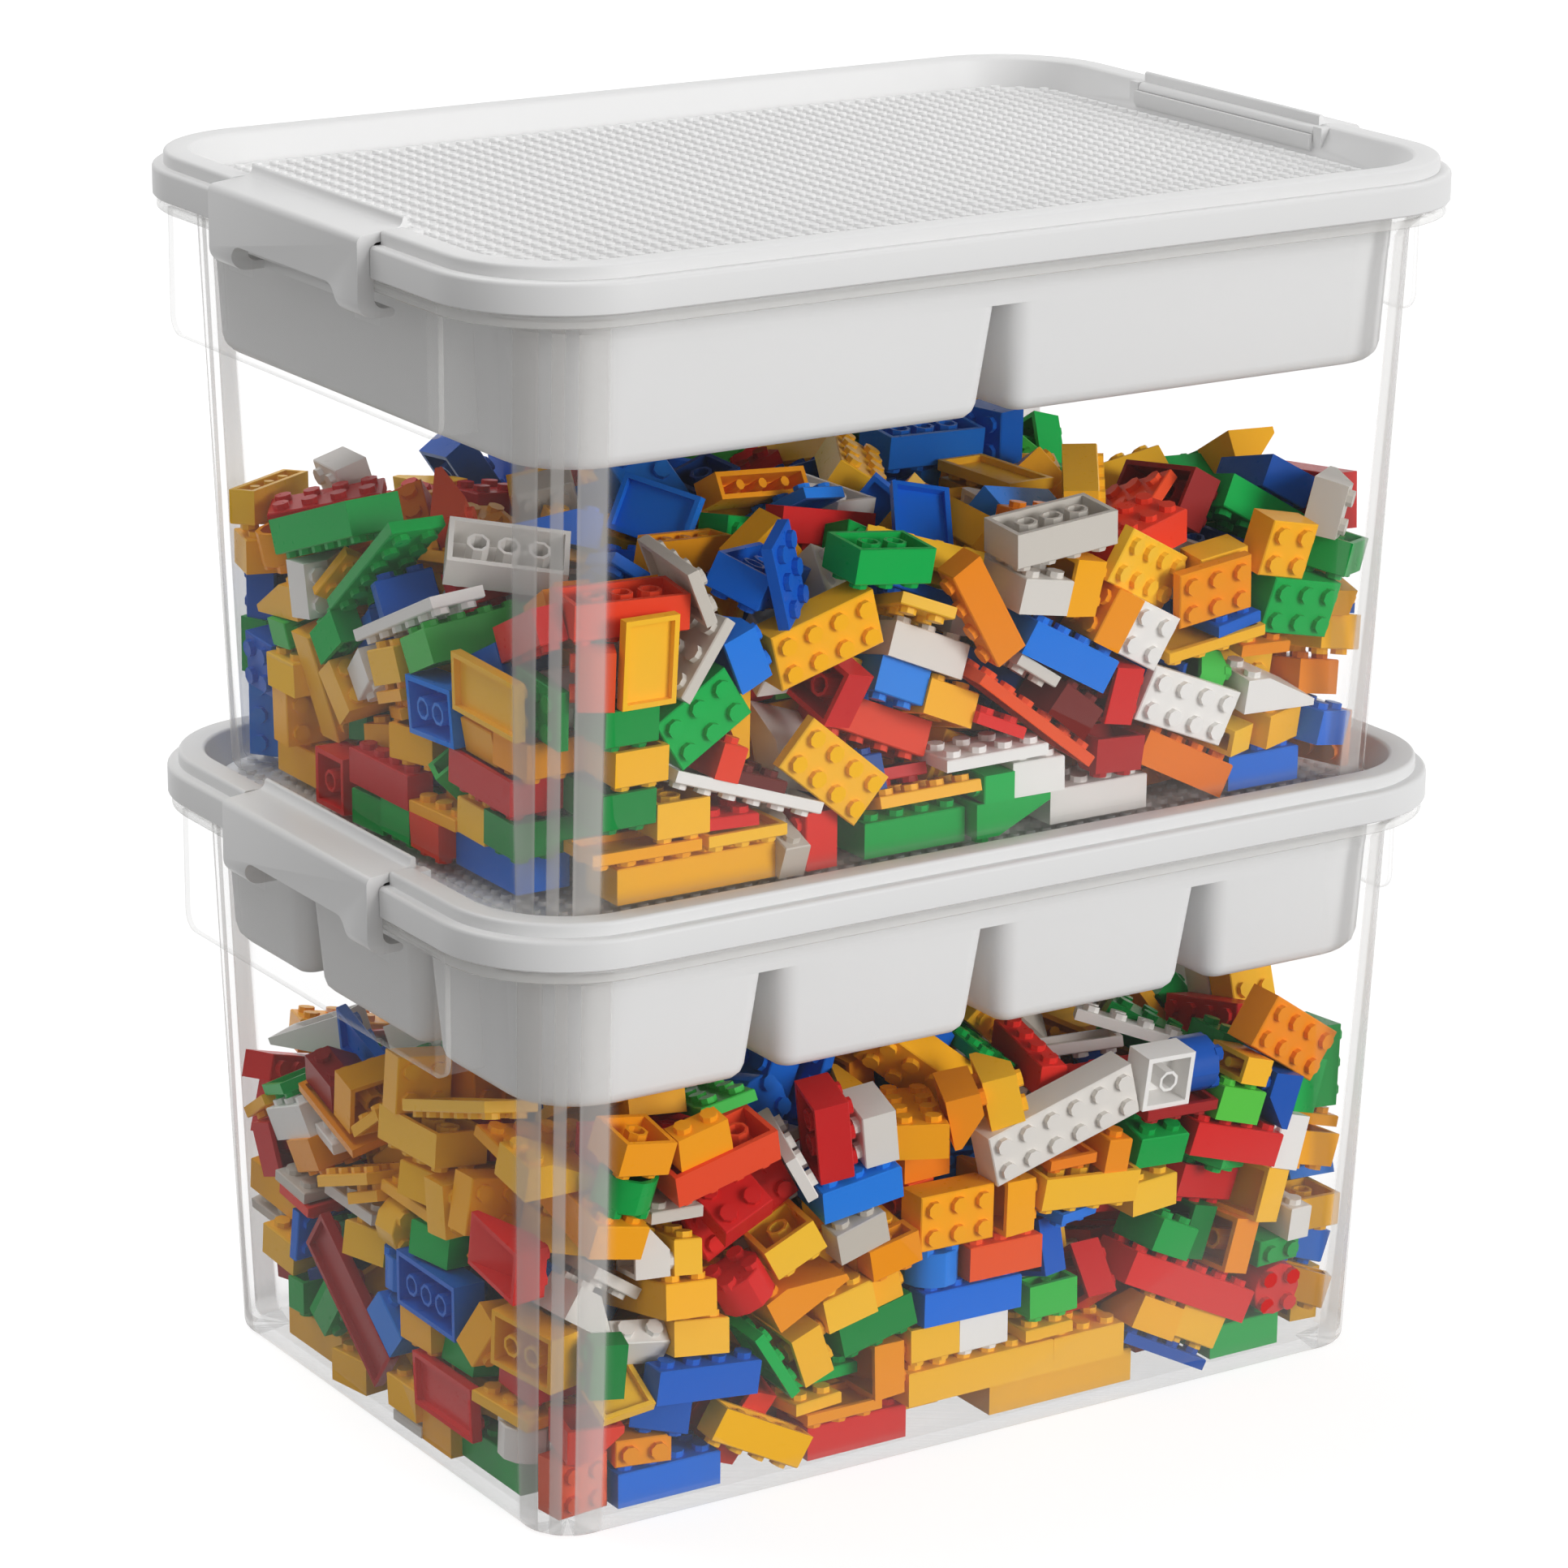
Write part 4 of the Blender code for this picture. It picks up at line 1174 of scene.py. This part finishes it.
def make_latch(prefix, side, sign):
    top = bases[prefix] + tub_height
    section = [(sign * (lid_half_x - inset), top + z) for inset, z in latch_section()]
    editor = bmesh.new()
    add_bar(editor, section, (-hook_outer_y, hook_outer_y))
    latch = as_object(f"{prefix}_latch_{side}_moulding", editor)
    fillet = 6 * mm
    low, high = top - 20 * mm, top + front_low_z
    gap = [(-hook_inner_y, low), (hook_inner_y, low)]
    gap += arc((hook_inner_y - fillet, high - fillet), fillet, 0, 90, 6)
    gap += arc((fillet - hook_inner_y, high - fillet), fillet, 90, 180, 6)
    tool = bmesh.new()
    x_range = sorted((sign * (lid_half_x + 10 * mm), sign * (lid_half_x - 8 * mm)))
    add_loft(tool, [[(x, y, z) for y, z in gap] for x in x_range])
    carve(latch, "between_hooks", tool)
    bevel = latch.modifiers.new("softened edges", "BEVEL")
    bevel.width = 0.7 * mm
    bevel.segments = 3
    bevel.limit_method = "ANGLE"
    bevel.angle_limit = math.radians(50)
    settle(latch, 40)
    pins = bmesh.new()
    pivot = (sign * (lid_half_x - pivot_inset), top + pivot_z)
    for end in (-1, 1):
        tip = end * (hinge_end + pin_depth)
        add_bar(pins, circle(pivot, pin_radius), sorted((end * pin_root, tip)))
    absorb(latch, as_object("pins", pins))
    latch.data.materials.append(latch_finish)
    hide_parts(f"{prefix}_latch_{side}")
    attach(latch, f"{prefix}_latch_{side}")


latch_finish = white_plastic("latch_white", (228, 228, 228), 0.26)
for prefix in bases:
    for side, sign in (("left", -1), ("right", 1)):
        make_latch(prefix, side, sign)

# Floor, light and camera
# The box stands on a pale studio floor that goes over into a white background. A soft lamp from the front
# right and a weak one from above stand out against an even light all round. A ray that crosses many clear
# walls isn't cut off.
scene = bpy.context.scene
scene.view_settings.view_transform = "Standard"
scene.cycles.transparent_max_bounces = 32

floor_editor = bmesh.new()
add_block(floor_editor, (-6, 6), (-6, 6), (-0.02, 0))
floor = as_object("studio_floor", floor_editor)
floor_finish, shader, start, place = new_finish("floor_white", Roughness=0.9)
greys = shade(148, 148, 148), shade(152, 152, 152)
start.feed(shader.inputs["Base Color"], mixed(start, noise(start, place, 2.0), *greys))


def in_sight(start):
    """1 for what the camera sees, straight, mirrored or through glass, and 0 for other light."""
    path = start.node("ShaderNodeLightPath")
    seen = path + path.other("Is Glossy Ray") + path.other("Is Transmission Ray")
    return start.math("MINIMUM", seen, 1.0)


glow = start.node("ShaderNodeEmission", None, {"Color": (1, 1, 1, 1), "Strength": in_sight(start) * 0.82})
body = Wire(start.tree, shader.outputs["BSDF"])
both = start.node("ShaderNodeAddShader", None, {0: body, 1: glow})
start.feed(start.tree.nodes["Material Output"].inputs["Surface"], both)
floor.data.materials.append(floor_finish)

world = bpy.data.worlds.new("studio")
scene.world = world
world.use_nodes = True
air = Wire(world.node_tree)
world.node_tree.nodes.clear()
around = air.node("ShaderNodeBackground", None, {"Color": (1, 1, 1, 1), "Strength": 0.38})
white = air.node("ShaderNodeBackground", None, {"Color": (1, 1, 1, 1), "Strength": 1.0})
shown = air.node("ShaderNodeMixShader", None, {0: in_sight(air), 1: around, 2: white})
air.node("ShaderNodeOutputWorld", None, {"Surface": shown})

lamps = (("window", 1.85, 30, (0.28, -0.75, 0.2)), ("ceiling", 1.3, 40, (-0.15, 0.42, 0.9)))
for name, energy, spread, direction in lamps:
    lamp = bpy.data.lights.new(name, "SUN")
    lamp.energy = energy
    lamp.angle = math.radians(spread)
    lamp_stand = bpy.data.objects.new(name, lamp)
    lamp_stand.rotation_mode = "QUATERNION"
    lamp_stand.rotation_quaternion = Vector(direction).to_track_quat("Z", "Y")
    scene.collection.objects.link(lamp_stand)

eye = Vector((-1.03668, -1.61328, 0.79600))
target = Vector((-0.03540, -0.04653, 0.22967))
back = (eye - target).normalized()
right = Vector((0, 0, 1)).cross(back).normalized()
up = back.cross(right)
roll = math.radians(0.448)
across = right * math.cos(roll) + up * math.sin(roll)
above = up * math.cos(roll) - right * math.sin(roll)
camera = bpy.data.cameras.new("camera")
camera.lens = 127.49
camera.sensor_width = 36
camera.clip_end = 50
tripod = bpy.data.objects.new("camera", camera)
tripod.matrix_world = Matrix.Translation(eye) @ Matrix((across, above, back)).transposed().to_4x4()
scene.collection.objects.link(tripod)
scene.camera = tripod
